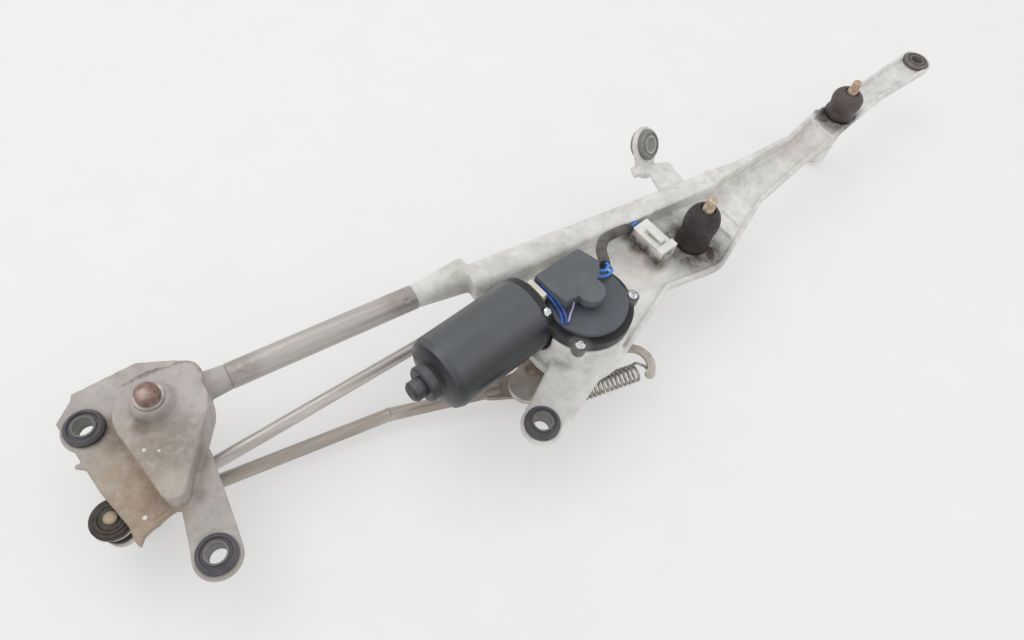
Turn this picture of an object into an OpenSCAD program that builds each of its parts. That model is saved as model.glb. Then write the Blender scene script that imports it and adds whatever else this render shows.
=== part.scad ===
// Windscreen wiper linkage: two die-cast brackets joined by a tube, a worm-geared
// motor, two driven wiper spindles, one idle spindle, and the levers and rods between.
// The left wiper spindle is the layout's datum: x runs along the tube, y to the rear, z up.

/* [Spindles] */
// Right wiper spindle, along the frame from the left one
right_spindle_x = 452; // [446:1:458]
// Right wiper spindle, across the frame from the left one
right_spindle_y = -52; // [-56:1:-48]
// Idle spindle, along the frame from the left spindle
idle_spindle_x = 707; // [697:1:717]
// Idle spindle, across the frame from the left spindle
idle_spindle_y = 9; // [5:1:13]
// Diameter of the spindles
spindle_d = 12; // [11:0.5:13]
// Diameter of the threaded spindle tips
tip_d = 8; // [7:0.5:9]
// Length of the threaded spindle tips
tip_len = 9; // [7:0.5:11]
// Wall of the bronze spindle bushes
bush_wall = 2; // [1.5:0.25:2.5]
// Length of each spindle bush
bush_len = 14; // [12:1:16]
// Wall of the bosses round the bushes
boss_wall = 5; // [4:0.5:6]
// Height of the right spindle's shoulder above the floor
right_shoulder_z = 107; // [104:1:110]
// Height of the idle spindle's shoulder above the floor
idle_shoulder_z = 92; // [89:1:95]
// Height of the left boss above the floor
left_boss_top = 98; // [95:0.5:98.5]
// Height of the right and idle bosses above their plate
boss_rise = 8; // [6:0.5:10]
// Height of the lower ends of the driven spindles' bosses
boss_foot_z = 38; // [37:0.5:41]
// Height of the lower end of the idle spindle's boss
idle_foot_z = 6; // [5:0.5:9]

/* [Mounts] */
// Left mount, along the frame
mount_a_x = -47; // [-50:1:-44]
// Left mount, across the frame
mount_a_y = 16; // [13:1:19]
// Left leg mount, along the frame
mount_b_x = -2; // [-5:1:1]
// Left leg mount, across the frame
mount_b_y = -108; // [-112:1:-106]
// Motor leg mount, along the frame
mount_c_x = 237; // [233:1:241]
// Motor leg mount, across the frame
mount_c_y = -134; // [-137:1:-131]
// Right mount, along the frame
mount_d_x = 857; // [845:1:870]
// Right mount, across the frame
mount_d_y = 31; // [27:1:35]
// Tilted ear mount, along the frame
mount_e_x = 468; // [464:1:472]
// Tilted ear mount, across the frame
mount_e_y = 49; // [47:1:52]
// Tilted ear mount, height
mount_e_z = 87; // [85:1:90]
// Bore of the mount grommets
grommet_bore = 13.6; // [12:0.2:14]
// Outer diameter of the mount grommets
grommet_d = 27.6; // [26:0.2:29]
// Height of the mount grommets
grommet_h = 15; // [14:0.5:17]
// Neck diameter of the mount grommets
grommet_neck_d = 20; // [18.5:0.5:21]
// Radius of the lugs round the grommets
lug_r = 16.5; // [15:0.5:18]

/* [Castings] */
// Height of the underside of the mount plates
plate_z = 60.5; // [60:0.5:63]
// Thickness of the mount plates
plate_t = 5; // [4:0.5:6]
// Wall of the cast shells
cast_wall = 4; // [3:0.5:5]
// Height of the raised rim above the right plate
rim_h = 4; // [3:0.5:5]
// Height of the top of the left bracket's raised housing
pear_top = 88; // [86:0.5:90]
// Radius of the left bracket's raised housing round the spindle
pear_r = 31; // [29:0.5:33]
// Half width of the left leg
leg_r = 12.5; // [11.5:0.5:13.5]
// Height of the top of the right casting's beam
beam_top = 82; // [79:1:84]
// Width of the beam at the tube
beam_w = 28; // [26:1:30]

/* [Tube] */
// Diameter of the frame tube
tube_d = 20; // [18:0.5:22]
// Wall of the frame tube
tube_wall = 1.5; // [1:0.25:2]
// Left end of the frame tube, along the frame
tube_left_x = 52; // [48:1:56]
// Right end of the frame tube, along the frame
tube_right_x = 203; // [198:1:208]
// Tube axis, across the frame
tube_y = 8; // [6:1:10]
// Tube axis, height
tube_z = 68; // [67:0.5:70]
// Length of the cast spigots inside the tube
spigot_len = 30; // [24:1:36]

/* [Linkage] */
// Thickness of the wiper levers
lever_t = 6; // [5:0.5:7]
// Height of the underside of the wiper levers
lever_z = 28; // [27.5:0.5:29]
// Left lever, spindle to drive rod stud
drive_stud_r = 52; // [49:1:54]
// Left lever, spindle to long rod stud
long_stud_r = 72; // [69:1:74]
// Direction of the left lever at rest
left_lever_angle = 223; // [220:1:226]
// Right lever, spindle to stud
right_stud_r = 75; // [72:1:78]
// Direction of the right lever at rest
right_lever_angle = 139; // [136:1:142]
// Diameter of the long rod
long_rod_d = 10; // [8:0.5:11]
// Diameter of the drive rod
drive_rod_d = 11; // [9:0.5:12]
// Diameter of the ball studs' balls
ball_d = 13; // [12:0.5:14]
// Ball centre to lever face
ball_rise = 15; // [14.5:0.5:16]
// Running clearance of the balls and spindles
running_gap = 0.08; // [0.03:0.01:0.1]
// Gap between the faces of an opened pivot
open_gap = 0.4; // [0.3:0.1:0.8]

/* [Crank] */
// Throw of the motor crank
crank_throw = 36; // [34:0.5:37]
// Thickness of the crank
crank_t = 6; // [5:0.5:7]
// Height of the underside of the crank
crank_z = 36; // [35.5:0.5:37]
// Direction of the crank at rest
crank_angle = 180; // [176:1:184]
// Distance of the spring ear from the shaft
ear_reach = 49; // [47:0.5:51]
// Direction of the spring ear at rest
ear_angle = 219; // [216:1:222]
// Outer diameter of the crank spring
spring_d = 16.5; // [14:0.5:17]
// Wire diameter of the crank spring
spring_wire = 2.4; // [1.8:0.2:2.6]
// Turns of the crank spring
spring_turns = 13; // [10:1:15]

/* [Motor] */
// Motor shaft, along the frame from the left spindle
motor_shaft_x = 302; // [299:1:305]
// Motor shaft, across the frame from the left spindle
motor_shaft_y = -82; // [-84:1:-80]
// Diameter of the output shaft
output_d = 12; // [11:0.5:13]
// Angle of the motor to the tube
motor_angle = 10; // [7:1:13]
// Height of the motor axis
motor_z = 97.5; // [97:0.5:99]
// Diameter of the motor can
can_d = 59; // [56:0.5:60]
// Length of the motor can
can_len = 87; // [80:1:92]
// Wall of the motor can
can_wall = 2; // [1.5:0.25:2.5]
// Length of the nose on the can
nose_len = 21; // [18:1:25]
// Distance from the worm wheel's centre line to the can
can_offset = 38; // [37:0.5:42]
// Distance between the worm and the worm wheel's axis
worm_offset = 27.5; // [27:0.5:29]
// Radius of the gear housing
housing_r = 35; // [34:0.5:37]
// Wall of the gear housing
housing_wall = 4; // [3:0.5:5]
// Height of the top of the gear housing
housing_top = 114.5; // [114:0.5:116]
// Thickness of the gear cover
cover_t = 3.5; // [3:0.5:4.5]
// Radius of the gear cover
cover_r = 31.5; // [31:0.5:33]
// Height of the boss on the gear cover
cover_boss_h = 5; // [4:0.5:6]
// Height of the terminal cap
cap_h = 12; // [10:0.5:14]
// Number of teeth on the worm wheel
wheel_teeth = 46; // [40:1:52]

/* [Wiring] */
// Diameter of the motor leads
lead_d = 2.4; // [2:0.1:2.8]
// Diameter of the sleeve over the leads
sleeve_d = 9; // [8:0.5:10]
// Length of the connector shell
connector_len = 36; // [32:1:40]
// Width of the connector shell
connector_w = 18; // [16:0.5:20]
// Height of the connector shell
connector_h = 15; // [13:0.5:17]

/* [Hidden] */
$fn = 48;

// Named places in plan
left_axis = [0, 0];
right_axis = [right_spindle_x, right_spindle_y];
idle_axis = [idle_spindle_x, idle_spindle_y];
shaft_axis = [motor_shaft_x, motor_shaft_y];
mount_a = [mount_a_x, mount_a_y];
mount_b = [mount_b_x, mount_b_y];
mount_c = [mount_c_x, mount_c_y];
mount_d = [mount_d_x, mount_d_y];
mount_e = [mount_e_x, mount_e_y];
function heading(a) = [cos(a), sin(a)];
drive_stud = left_axis + drive_stud_r * heading(left_lever_angle);
long_stud = left_axis + long_stud_r * heading(left_lever_angle);
right_stud = right_axis + right_stud_r * heading(right_lever_angle);
crank_stud = shaft_axis + crank_throw * heading(crank_angle);
spring_ear = shaft_axis + ear_reach * heading(ear_angle);

// Heights that follow from the driving ones
press_gap = 0.02;
plate_top = plate_z + plate_t;
lever_top = lever_z + lever_t;
crank_top = crank_z + crank_t;
long_ball_z = lever_top + ball_rise;
drive_ball_z = lever_z - ball_rise;
cover_top = housing_top + cover_t;
bush_r = spindle_d/2 + bush_wall;
boss_r = bush_r + boss_wall;
leg_plate_z = plate_z - 4;

// Ball joints
ball_r = ball_d/2;
socket_r = ball_r + 3.5;
socket_mouth = ball_r + 1.5;
socket_back = ball_r + 2.5;
neck_r = ball_r * 0.6;
collar_r = 8;
collar_h = 2;
shank_r = 5;
rivet_r = 7.5;
rivet_h = 3;
eye_r = socket_r + 3;
eye_t = 5;
joint_cap_r = 14.5;

// Tilt of the ear mount
ear_tilt = 53;
ear_turn = 20;
ear_r = grommet_d/2 + 3;
grommet_chamfer = 2;

// The finished part is centred over the floor
ear_across = sqrt(pow(cos(ear_turn)*cos(ear_tilt), 2) + pow(sin(ear_turn), 2));
ear_back = cos(ear_turn)*sin(ear_tilt);
function ear_reach_back(r, h) = r*ear_across + h*ear_back;
x_low = min(mount_a_x - lug_r, long_stud.x - joint_cap_r);
x_high = mount_d_x + lug_r;
y_low = mount_c_y - lug_r;
y_high = mount_e_y + max(ear_reach_back(grommet_d/2 - grommet_chamfer, grommet_h/2),
    ear_reach_back(grommet_d/2, grommet_h/2 - grommet_chamfer), ear_reach_back(ear_r, plate_t/2));
mid_x = (x_low + x_high)/2;
mid_y = (y_low + y_high)/2;
module in_place() { translate([-mid_x, -mid_y, 0]) children(); }

// The straight web between two rounds; its corners sit a seam's width inside them
seam = 0.02;
module web2d(p, rp, q, rq) {
    run = q - p;
    lean = acos((rp - rq)/norm(run));
    left = heading(atan2(run.y, run.x) + lean);
    right = heading(atan2(run.y, run.x) - lean);
    polygon([p + (rp - seam)*left, q + (rq - seam)*left, q + (rq - seam)*right, p + (rp - seam)*right]);
}
// Two circles joined by their outer tangents
module link2d(p, rp, q, rq) {
    translate(p) circle(rp);
    translate(q) circle(rq);
    web2d(p, rp, q, rq);
}

module slab(z, h) { translate([0, 0, z]) linear_extrude(h) children(); }
module post(p, z, h, r) { translate([p.x, p.y, z]) cylinder(h = h, r = r); }
module bar(p, rp, q, rq, z, h) {
    post(p, z, h, rp);
    post(q, z, h, rq);
    slab(z, h) web2d(p, rp, q, rq);
}
module motor_frame() {
    foot = shaft_axis + worm_offset * heading(motor_angle + 90);
    translate([foot.x, foot.y, motor_z]) rotate([0, 0, motor_angle]) children();
}
module along_x(x, len, r, r2 = undef) {
    translate([x, 0, 0]) rotate([0, 90, 0]) cylinder(h = len, r1 = r, r2 = is_undef(r2) ? r : r2);
}
module ear_frame() { translate([mount_e.x, mount_e.y, mount_e_z]) rotate([ear_tilt, 0, ear_turn])
    children(); }

// A tube swept along points, with flat ends
function sweep_dir(path, i) =
    let (a = path[max(i - 1, 0)], b = path[min(i + 1, len(path) - 1)]) (b - a)/norm(b - a);
// Each ring's side is carried along from the ring before, so that the tube doesn't twist
function squared(s, d) = let (v = s - (s*d)*d) v/norm(v);
function sides(path, i, s) = i == len(path) ? [] :
    let (t = squared(s, sweep_dir(path, i))) concat([t], sides(path, i + 1, t));
function ring_at(c, d, s, r, n) =
    let (t = cross(d, s)) [for (k = [0:n - 1]) c + r*(cos(360*k/n)*s + sin(360*k/n)*t)];
module swept(path, r, n, first_side = [0, 0, 1]) {
    rings = len(path);
    side = sides(path, 0, first_side);
    pts = [for (i = [0:rings - 1]) each ring_at(path[i], sweep_dir(path, i), side[i], r, n)];
    walls = [for (i = [0:rings - 2], k = [0:n - 1]) let (a = i*n + k, b = i*n + (k + 1)%n)
        each [[a, a + n, b + n], [a, b + n, b]]];
    caps = [[for (k = [0:n - 1]) k], [for (k = [n - 1:-1:0]) (rings - 1)*n + k]];
    polyhedron(pts, concat(walls, caps), convexity = 6);
}
// Points of a smooth curve through hand-chosen ones
function bend(p, i, u) =
    let (a = p[max(i - 1, 0)], b = p[i], c = p[i + 1], d = p[min(i + 2, len(p) - 1)])
    0.5*(2*b + (c - a)*u + (2*a - 5*b + 4*c - d)*u*u + (3*b - a - 3*c + d)*u*u*u);
function smooth(p, n) = concat([for (i = [0:len(p) - 2], k = [0:n - 1]) bend(p, i, k/n)], [p[len(p) - 1]]);

// Left bracket
pear_axis = [3.5, -4];
pear_foot = [-8.5, -62];
pear_foot_r = 8.5;
plate_corners = [[-48, 47], [-2, 51.5], [25, 40], [31, 12], [22, -20], [2, -58], [-15, -68], [-28, -72],
    [-37, -75],
    [-41.5, -81], [-43, -76], [-43.5, -64], [-52, -33], [-58, 3], [-60, 12], [-63, 29], [-50, 42]];
module left_plate2d() {
    translate(mount_a) circle(lug_r);
    polygon(plate_corners);
}
module pear2d(inset) { link2d(pear_axis, pear_r - inset, pear_foot, pear_foot_r - inset); }
// The leg slopes from the housing's side down to its mount
left_leg_head = [8, -44];
left_leg_z = 74;
module left_leg() {
    bend = left_leg_head.y - 12;
    knee = mount_b_y + 14;
    intersection() {
        slab(0, pear_top) link2d(left_leg_head, leg_r, mount_b, lug_r);
        translate([-100, 0, 0]) rotate([90, 0, 90]) linear_extrude(200)
            polygon([[bend + 32, left_leg_z], [bend, left_leg_z], [knee, leg_plate_z + plate_t],
                [mount_b_y - 40, leg_plate_z + plate_t], [mount_b_y - 40, leg_plate_z],
                [knee + 2, leg_plate_z], [bend, left_leg_z - plate_t], [bend + 32, left_leg_z - plate_t]]);
    }
}
module left_bracket() color("#A9A49B") in_place() difference() {
    union() {
        difference() {
            union() {
                slab(plate_z, plate_t) left_plate2d();
                slab(plate_z, pear_top - plate_z) pear2d(0);
                translate([0, tube_y, tube_z]) along_x(pear_axis.x + 10, tube_left_x - pear_axis.x - 10,
                    tube_d/2 + 3, tube_d/2 - 0.4);
            }
            slab(plate_z - 1, pear_top - plate_z + 1 - cast_wall) pear2d(cast_wall);
        }
        left_leg();
        post(left_axis, boss_foot_z, pear_top - boss_foot_z - 1, boss_r);
        post(left_axis, pear_top, 0.6, boss_r + 5);
        translate([0, 0, pear_top]) cylinder(h = left_boss_top - pear_top, r1 = boss_r + 3, r2 = boss_r - 1);
        for (a = [30, 150, 215, 325])
            translate([0, 0, plate_z]) rotate([0, 0, a]) translate([boss_r - 1, -1.5, 0])
                cube([12, 3, pear_top - plate_z - 2]);
        translate([0, tube_y, tube_z])
            along_x(tube_left_x - 1, spigot_len + 1, tube_d/2 - tube_wall - press_gap);
    }
    post(left_axis, boss_foot_z - 1, left_boss_top, bush_r + press_gap);
    post(mount_a, plate_z - 1, plate_t + 2, grommet_neck_d/2 + press_gap);
    post(mount_b, leg_plate_z - 1, plate_t + 2, grommet_neck_d/2 + press_gap);
}

// Right casting
waist = [396, -54];
arm_start = [540, -24];
arm_mid = [620, -12];
strip_start = [775, 20];
leg_root = shaft_axis + [4, -16];
leg_root_r = 21;
leg_top = 92;
platform_left = [268, -20];
beam_left = [248, 12];
beam_right = [508, 2];
platform_r = housing_r + 8;
ear_strip = [[-13, -60], [16, -60], [17.5, -46], [19.5, -19], [2, -14], [-19, -9], [-22, -19], [-7, -23],
    [-11, -45]];
module right_plate2d(inset) {
    link2d(shaft_axis, platform_r - inset, waist, 28 - inset);
    link2d(waist, 28 - inset, right_axis, 35 - inset);
    link2d(right_axis, 35 - inset, arm_start, 22 - inset);
    link2d(arm_start, 22 - inset, arm_mid, 15.5 - inset);
    link2d(arm_mid, 15.5 - inset, idle_axis, 17 - inset);
    link2d(idle_axis, 17 - inset, strip_start, 14 - inset);
    link2d(strip_start, 14 - inset, mount_d, lug_r - inset);
    link2d(platform_left, 16 - inset, shaft_axis, platform_r - inset);
    polygon([platform_left + [0, 14 - inset], beam_right - [0, 8], arm_start, right_axis, waist,
        shaft_axis, platform_left]);
}
module beam2d(inset) {
    polygon([beam_left + [inset, -inset], beam_right + [0, -inset], beam_right + [0, inset - 20],
        beam_left + [inset, inset - beam_w]]);
}
module beam_round(inset) {
    edge = 9;
    slope = atan2(beam_right.y - beam_left.y, beam_right.x - beam_left.x);
    translate([beam_left.x - 1, beam_left.y, 0]) rotate([90, 0, 90 + slope])
        linear_extrude(beam_right.x - beam_left.x + 2)
        union() {
            for (y = [-beam_w + edge, -edge]) translate([y, beam_top - edge]) circle(edge - inset);
            translate([-beam_w + edge, plate_z - 2]) square([beam_w - 2*edge,
                beam_top - plate_z + 2 - inset]);
            translate([-beam_w + inset, plate_z - 2]) square([beam_w - 2*inset,
                beam_top - plate_z + 2 - edge]);
        }
}
module beam() {
    difference() {
        intersection() {
            slab(plate_z, beam_top - plate_z) beam2d(0);
            beam_round(0);
        }
        intersection() {
            slab(plate_z - 1, beam_top - plate_z + 1 - cast_wall) beam2d(cast_wall);
            beam_round(cast_wall);
        }
    }
}
module arm_wall() {
    start = beam_right - [3, 1];
    intersection() {
        slab(plate_z, beam_top - plate_z)
            polygon([start, arm_start + [0, 22], arm_mid + [-35, 12], arm_mid + [0, 15],
                idle_axis + [-20, 15],
                idle_axis + [-20, 10], arm_mid + [0, 10], arm_mid + [-35, 7], arm_start + [0, 14],
                    start - [0, 17]]);
        translate([0, 100, 0]) rotate([90, 0, 0]) linear_extrude(200)
            polygon([[start.x - 1, 0], [start.x - 1, beam_top], [arm_mid.x - 20, beam_top - 2],
                [idle_axis.x - 18, plate_top + 3], [idle_axis.x - 18, 0]]);
    }
}
// Cast cup round the gear housing, with its screw lugs
cup_r = housing_r + 3.5;
module motor_cup() {
    difference() {
        union() {
            post(shaft_axis, plate_top - 1, ring_low - 0.3 - plate_top + 1, cup_r);
            screw_lugs(ring_low - 14, 13.7);
            motor_leg();
        }
        post(shaft_axis, plate_top, ring_low, housing_r + 0.3);
        motor_frame() along_x(-can_offset - 1, can_offset + tunnel_len + 2, tunnel_r + 0.8);
        for (a = cover_screw_angles) post(shaft_axis + cover_screw_r*heading(a), ring_low - 9, 10,
            screw_r + press_gap);
    }
}
// Hollow leg that slopes from the cup down to its mount
module leg_profile(drop, over) {
    run = mount_c - leg_root;
    len = norm(run);
    low = leg_plate_z + plate_t;
    translate([leg_root.x, leg_root.y, 0]) rotate([90, 0, atan2(run.y, run.x)]) translate([0, 0, -60])
        linear_extrude(120)
        polygon([[-30, plate_z - over], [-30, leg_top - drop], [12, leg_top - drop], [len - 18 - 2*drop,
            low - drop],
            [len + 30, low - drop], [len + 30, leg_plate_z - over], [len - 26, leg_plate_z - over], [0,
                plate_z - over]]);
}
module motor_leg() {
    difference() {
        intersection() {
            slab(0, leg_top + 10) link2d(leg_root, leg_root_r, mount_c, lug_r);
            leg_profile(0, 0);
        }
        intersection() {
            slab(0, leg_top + 10) link2d(leg_root, leg_root_r - cast_wall,
                leg_root + 0.6*(mount_c - leg_root), lug_r - cast_wall);
            leg_profile(plate_t, 1);
        }
    }
}
module right_casting() color("#B4B1AA") in_place() difference() {
    union() {
        slab(plate_z, plate_t) right_plate2d(0);
        difference() {
            slab(plate_top - 1, rim_h + 1) right_plate2d(0);
            slab(plate_top - 2, rim_h + 3) right_plate2d(cast_wall);
            slab(plate_top, rim_h + 3) beam2d(cast_wall);
            for (p = [right_axis, idle_axis]) post(p, plate_top, rim_h + 1, boss_r + boot_wall + 1);
        }
        beam();
        arm_wall();
        motor_cup();
        translate([0, tube_y, tube_z]) {
            along_x(tube_right_x - spigot_len, spigot_len + 1, tube_d/2 - tube_wall - press_gap);
            along_x(tube_right_x, beam_left.x + 4 - tube_right_x, tube_d/2 - 0.4, tube_d/2 + 5);
        }
        post(right_axis, boss_foot_z, plate_top + boss_rise - boss_foot_z, boss_r);
        post(idle_axis, idle_foot_z, plate_top + boss_rise - idle_foot_z, boss_r);
        for (a = [-60, 0, 60])
            translate([right_axis.x, right_axis.y, plate_top - 1]) rotate([0, 0, a])
                translate([boss_r + boot_wall + 1, -1.5, 0])
                cube([10, 3, boss_rise - 1]);
        for (a = [25, 205])
            translate([idle_axis.x, idle_axis.y, idle_foot_z + 12]) rotate([90, 0, a])
                translate([boss_r - 1, 0, -1.5])
                linear_extrude(3) polygon([[0, 0], [2, 0], [14, plate_z - idle_foot_z - 11], [0,
                    plate_z - idle_foot_z - 11]]);
        slab(beam_top - 12, plate_t) translate(mount_e) polygon(ear_strip);
        ear_frame() translate([0, 0, -plate_t/2]) linear_extrude(plate_t) link2d([0, 0], ear_r, [-9,
            -17], 12);
    }
    post(right_axis, boss_foot_z - 1, plate_top + boss_rise, bush_r + press_gap);
    post(idle_axis, idle_foot_z - 1, plate_top + boss_rise, bush_r + press_gap);
    for (m = [[mount_c, leg_plate_z], [mount_d, plate_z]]) {
        post(m[0], m[1] - 1, plate_t + 2, grommet_neck_d/2 + press_gap);
        post(m[0], m[1] + plate_t, 20, grommet_d/2 + 0.5);
    }
    ear_frame() translate([0, 0, -plate_t]) cylinder(h = 2*plate_t, r = grommet_neck_d/2 + press_gap);
    post(shaft_axis, plate_z - 1, plate_t + 2, shaft_boss_r + 0.3);
    post(shaft_axis, plate_top, rim_h + 1, housing_r + 0.3);
    for (a = motor_bolt_angles) {
        post(shaft_axis + motor_bolt_r*heading(a), plate_z - 1, plate_t + 2, bolt_r + 0.3);
        post(shaft_axis + motor_bolt_r*heading(a), plate_z - 10, 10, bolt_washer_r + 0.5);
    }
    motor_frame() along_x(-can_offset - can_len, can_len + 14, can_d/2 + 1.5);
}

// Frame tube, staked on to the spigots by dimples
dimple_r = 4;
module frame_tube() color("#8B8279") in_place() translate([0, tube_y, tube_z]) difference() {
    along_x(tube_left_x, tube_right_x - tube_left_x, tube_d/2);
    along_x(tube_left_x - 1, tube_right_x - tube_left_x + 2, tube_d/2 - tube_wall);
    for (x = [tube_left_x + 8, tube_right_x - 8], a = [35, -35])
        translate([x, 0, 0]) rotate([a, 0, 0]) translate([0, 0, tube_d/2 + dimple_r - tube_wall/2])
            sphere(dimple_r);
}

// Mount grommets
module grommet() {
    groove = plate_t/2 + 0.1;
    rim = grommet_d/2 - grommet_chamfer;
    side = grommet_h/2 - grommet_chamfer;
    rotate_extrude() polygon([[grommet_bore/2, -grommet_h/2], [rim, -grommet_h/2],
        [grommet_d/2, -side], [grommet_d/2, -groove], [grommet_neck_d/2, -groove],
        [grommet_neck_d/2, groove], [grommet_d/2, groove], [grommet_d/2, side],
        [rim, grommet_h/2], [rim - 1, grommet_h/2], [rim - 1.5, grommet_h/2 - 1.5],
        [grommet_bore/2 + 2, grommet_h/2 - 1.5], [grommet_bore/2 + 1.5, grommet_h/2], [grommet_bore/2,
            grommet_h/2]]);
}
module mount_grommets() color("#2E2F31") in_place() {
    for (p = [mount_a, mount_d]) translate([p.x, p.y, plate_z + plate_t/2]) grommet();
    for (p = [mount_b, mount_c]) translate([p.x, p.y, leg_plate_z + plate_t/2]) grommet();
    ear_frame() grommet();
}

// Bronze bushes, two to a boss
module bush(p, z) {
    translate([p.x, p.y, z]) difference() {
        cylinder(h = bush_len, r = bush_r);
        translate([0, 0, -1]) cylinder(h = bush_len + 2, r = spindle_d/2 + running_gap);
    }
}
module spindle_bushes() color("#8C6A3F") in_place() {
    for (b = [[left_axis, boss_foot_z, left_boss_top], [right_axis, boss_foot_z, plate_top + boss_rise],
            [idle_axis, idle_foot_z, plate_top + boss_rise]]) {
        bush(b[0], b[1]);
        bush(b[0], b[2] - bush_len);
    }
}

// Motor can with its stepped nose, open towards the gear housing
can_r = can_d/2;
can_front = -can_offset - can_len;
magnet_gap = 0.1;
motor_shaft_r = 4;
module motor_can() color("#232528") in_place() motor_frame() rotate([0, 90, 0]) difference() {
    rotate_extrude() polygon([[0, can_front - nose_len], [6, can_front - nose_len], [8,
        can_front - nose_len + 2],
        [8, can_front - 11], [13, can_front - 11], [14.5, can_front - 9.5], [14.5, can_front - 3.5],
        [17, can_front - 2], [can_r - 6, can_front], [can_r - 2, can_front + 2], [can_r, can_front + 7],
        [can_r, -can_offset], [0, -can_offset]]);
    translate([0, 0, can_front + 7]) cylinder(h = can_len, r = can_r - can_wall);
    translate([0, 0, can_front + can_wall]) cylinder(h = can_len, r = can_r - 8);
    translate([0, 0, can_front - nose_len + 4]) cylinder(h = nose_len, r = motor_shaft_r + running_gap);
}
module motor_magnets() color("#3A3A3C") in_place() motor_frame() rotate([0, 90, 0])
    for (a = [20, 200]) rotate([0, 0, a]) translate([0, 0, can_front + can_wall + 6])
        rotate_extrude(angle = 140) translate([can_r - can_wall - magnet_gap - 5.5, 0]) square([5.5,
            can_len - 26]);

// Brush card behind the commutator
module brush_card() color("#5A4632") in_place() motor_frame() rotate([0, 90, 0]) translate([0, 0,
    -can_offset - 9])
    difference() {
        cylinder(h = 3, r = can_r - can_wall - magnet_gap);
        translate([0, 0, -1]) cylinder(h = 5, r = commutator_r + 1);
    }

// Gear housing, with the worm tunnel and the shaft boss
shaft_boss_r = 12;
tunnel_r = 13;
tunnel_len = 32;
flange_t = 6;
wheel_h = 9;
motor_bolt_r = 29;
bolt_washer_r = 7;
motor_bolt_angles = [75, 200, 310];
bolt_r = 3;
cover_screw_r = housing_r + 3;
cover_screw_angles = [228, 343];
screw_r = 2;
screw_head_r = 4;
screw_head_h = 2.8;
can_screw_turns = [37, 217];
can_pad_r = 3;
can_pad_top = can_r + 0.7;
can_head_r = 3.4;
flange_face = -can_offset + flange_t;
// Black ring round the gear housing, under the cover
ring_r = 37;
ring_low = 104;
ring_top = housing_top - 2.5;
gear_room_r = cover_r - housing_wall;
module screw_lugs(z, h) { for (a = cover_screw_angles) post(shaft_axis + cover_screw_r*heading(a), z, h,
    5.5); }
// The can's screws stand on pads round the flange and point at the motor's axis
module at_can_screws() { motor_frame() for (t = can_screw_turns) rotate([t, 0, 0])
    translate([-can_offset + flange_t/2, 0, can_pad_top]) children(); }
module gear_housing() color("#202123") in_place() difference() {
    union() {
        post(shaft_axis, plate_top, ring_low - plate_top + 1, housing_r);
        post(shaft_axis, ring_low, ring_top - ring_low, ring_r);
        post(shaft_axis, ring_low, housing_top - ring_low, cover_r);
        screw_lugs(ring_low, ring_top - ring_low);
        motor_frame() along_x(-can_offset + 1, can_offset - 1 + tunnel_len, tunnel_r);
        post(shaft_axis, crank_top + 1, plate_top - crank_top, shaft_boss_r);
        motor_frame() along_x(-can_offset, flange_t, can_r);
        at_can_screws() translate([0, 0, -10]) cylinder(h = 10, r = can_pad_r - 0.1);
    }
    post(shaft_axis, motor_z - wheel_h/2 - 3, housing_top, gear_room_r);
    post(shaft_axis, crank_z, housing_top, output_d/2 + running_gap);
    motor_frame() along_x(-can_offset - 1, can_offset + tunnel_len - 3, motor_shaft_r + 1.5);
    at_can_screws() translate([0, 0, -8]) cylinder(h = 10, r = screw_r + press_gap);
    for (a = motor_bolt_angles) post(shaft_axis + motor_bolt_r*heading(a), plate_z, 18, bolt_r + press_gap);
    for (a = cover_screw_angles) post(shaft_axis + cover_screw_r*heading(a), ring_low - 1, 20,
        screw_r + press_gap);
}

// Gear cover with its round boss
module gear_cover() color("#454A50") in_place() {
    post(shaft_axis, housing_top, cover_t - 1, cover_r);
    translate([shaft_axis.x, shaft_axis.y, cover_top - 1.01]) cylinder(h = 1.01, r1 = cover_r - 0.1,
        r2 = cover_r - 1);
    post(shaft_axis, cover_top - 0.5, cover_boss_h + 0.5, boss_top_r);
}

// Terminal cap over the worm side of the gear cover, with a round lobe above the cover's boss
boss_top_r = 8.5;
lobe_r = 11;
cap_corners = [[-23, 0], [0, 0], [14, 9], [21, 19], [13, 36], [-30, 30], [-27, 14]];
function inset_corner(p, i, d) =
    let (n = len(p), u = p[i] - p[(i + n - 1)%n], v = p[(i + 1)%n] - p[i],
        nu = [-u.y, u.x]/norm(u), nv = [-v.y, v.x]/norm(v))
    p[i] + d*(nu + nv)/(1 + nu*nv);
module cap_outline(inset) {
    translate(shaft_axis) polygon([for (i = [0:len(cap_corners) - 1]) inset_corner(cap_corners, i, inset)]);
}
module terminal_cap() color("#3B3D40") in_place() difference() {
    union() {
        slab(cover_top, cap_h) cap_outline(0);
        post(shaft_axis, cover_top + cover_boss_h + 0.1, cap_h - cover_boss_h - 0.1, lobe_r);
    }
    slab(cover_top - 1, cap_h - 1.5) cap_outline(2.5);
    post(shaft_axis, cover_top - 1, cover_boss_h + 1.2, boss_top_r + open_gap);
}

// White plug on the brush leads, standing on the black ring beside the flange
plug_size = [4.4, 17, 15];
module brush_plug() color("#E4E2DA") in_place() motor_frame()
    translate([flange_face + 0.4, -9, ring_top - motor_z]) difference() {
        cube(plug_size);
        for (y = [2, 9.5]) translate([-1, y, 9]) cube([2.5, 5.5, 3]);
    }

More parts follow.
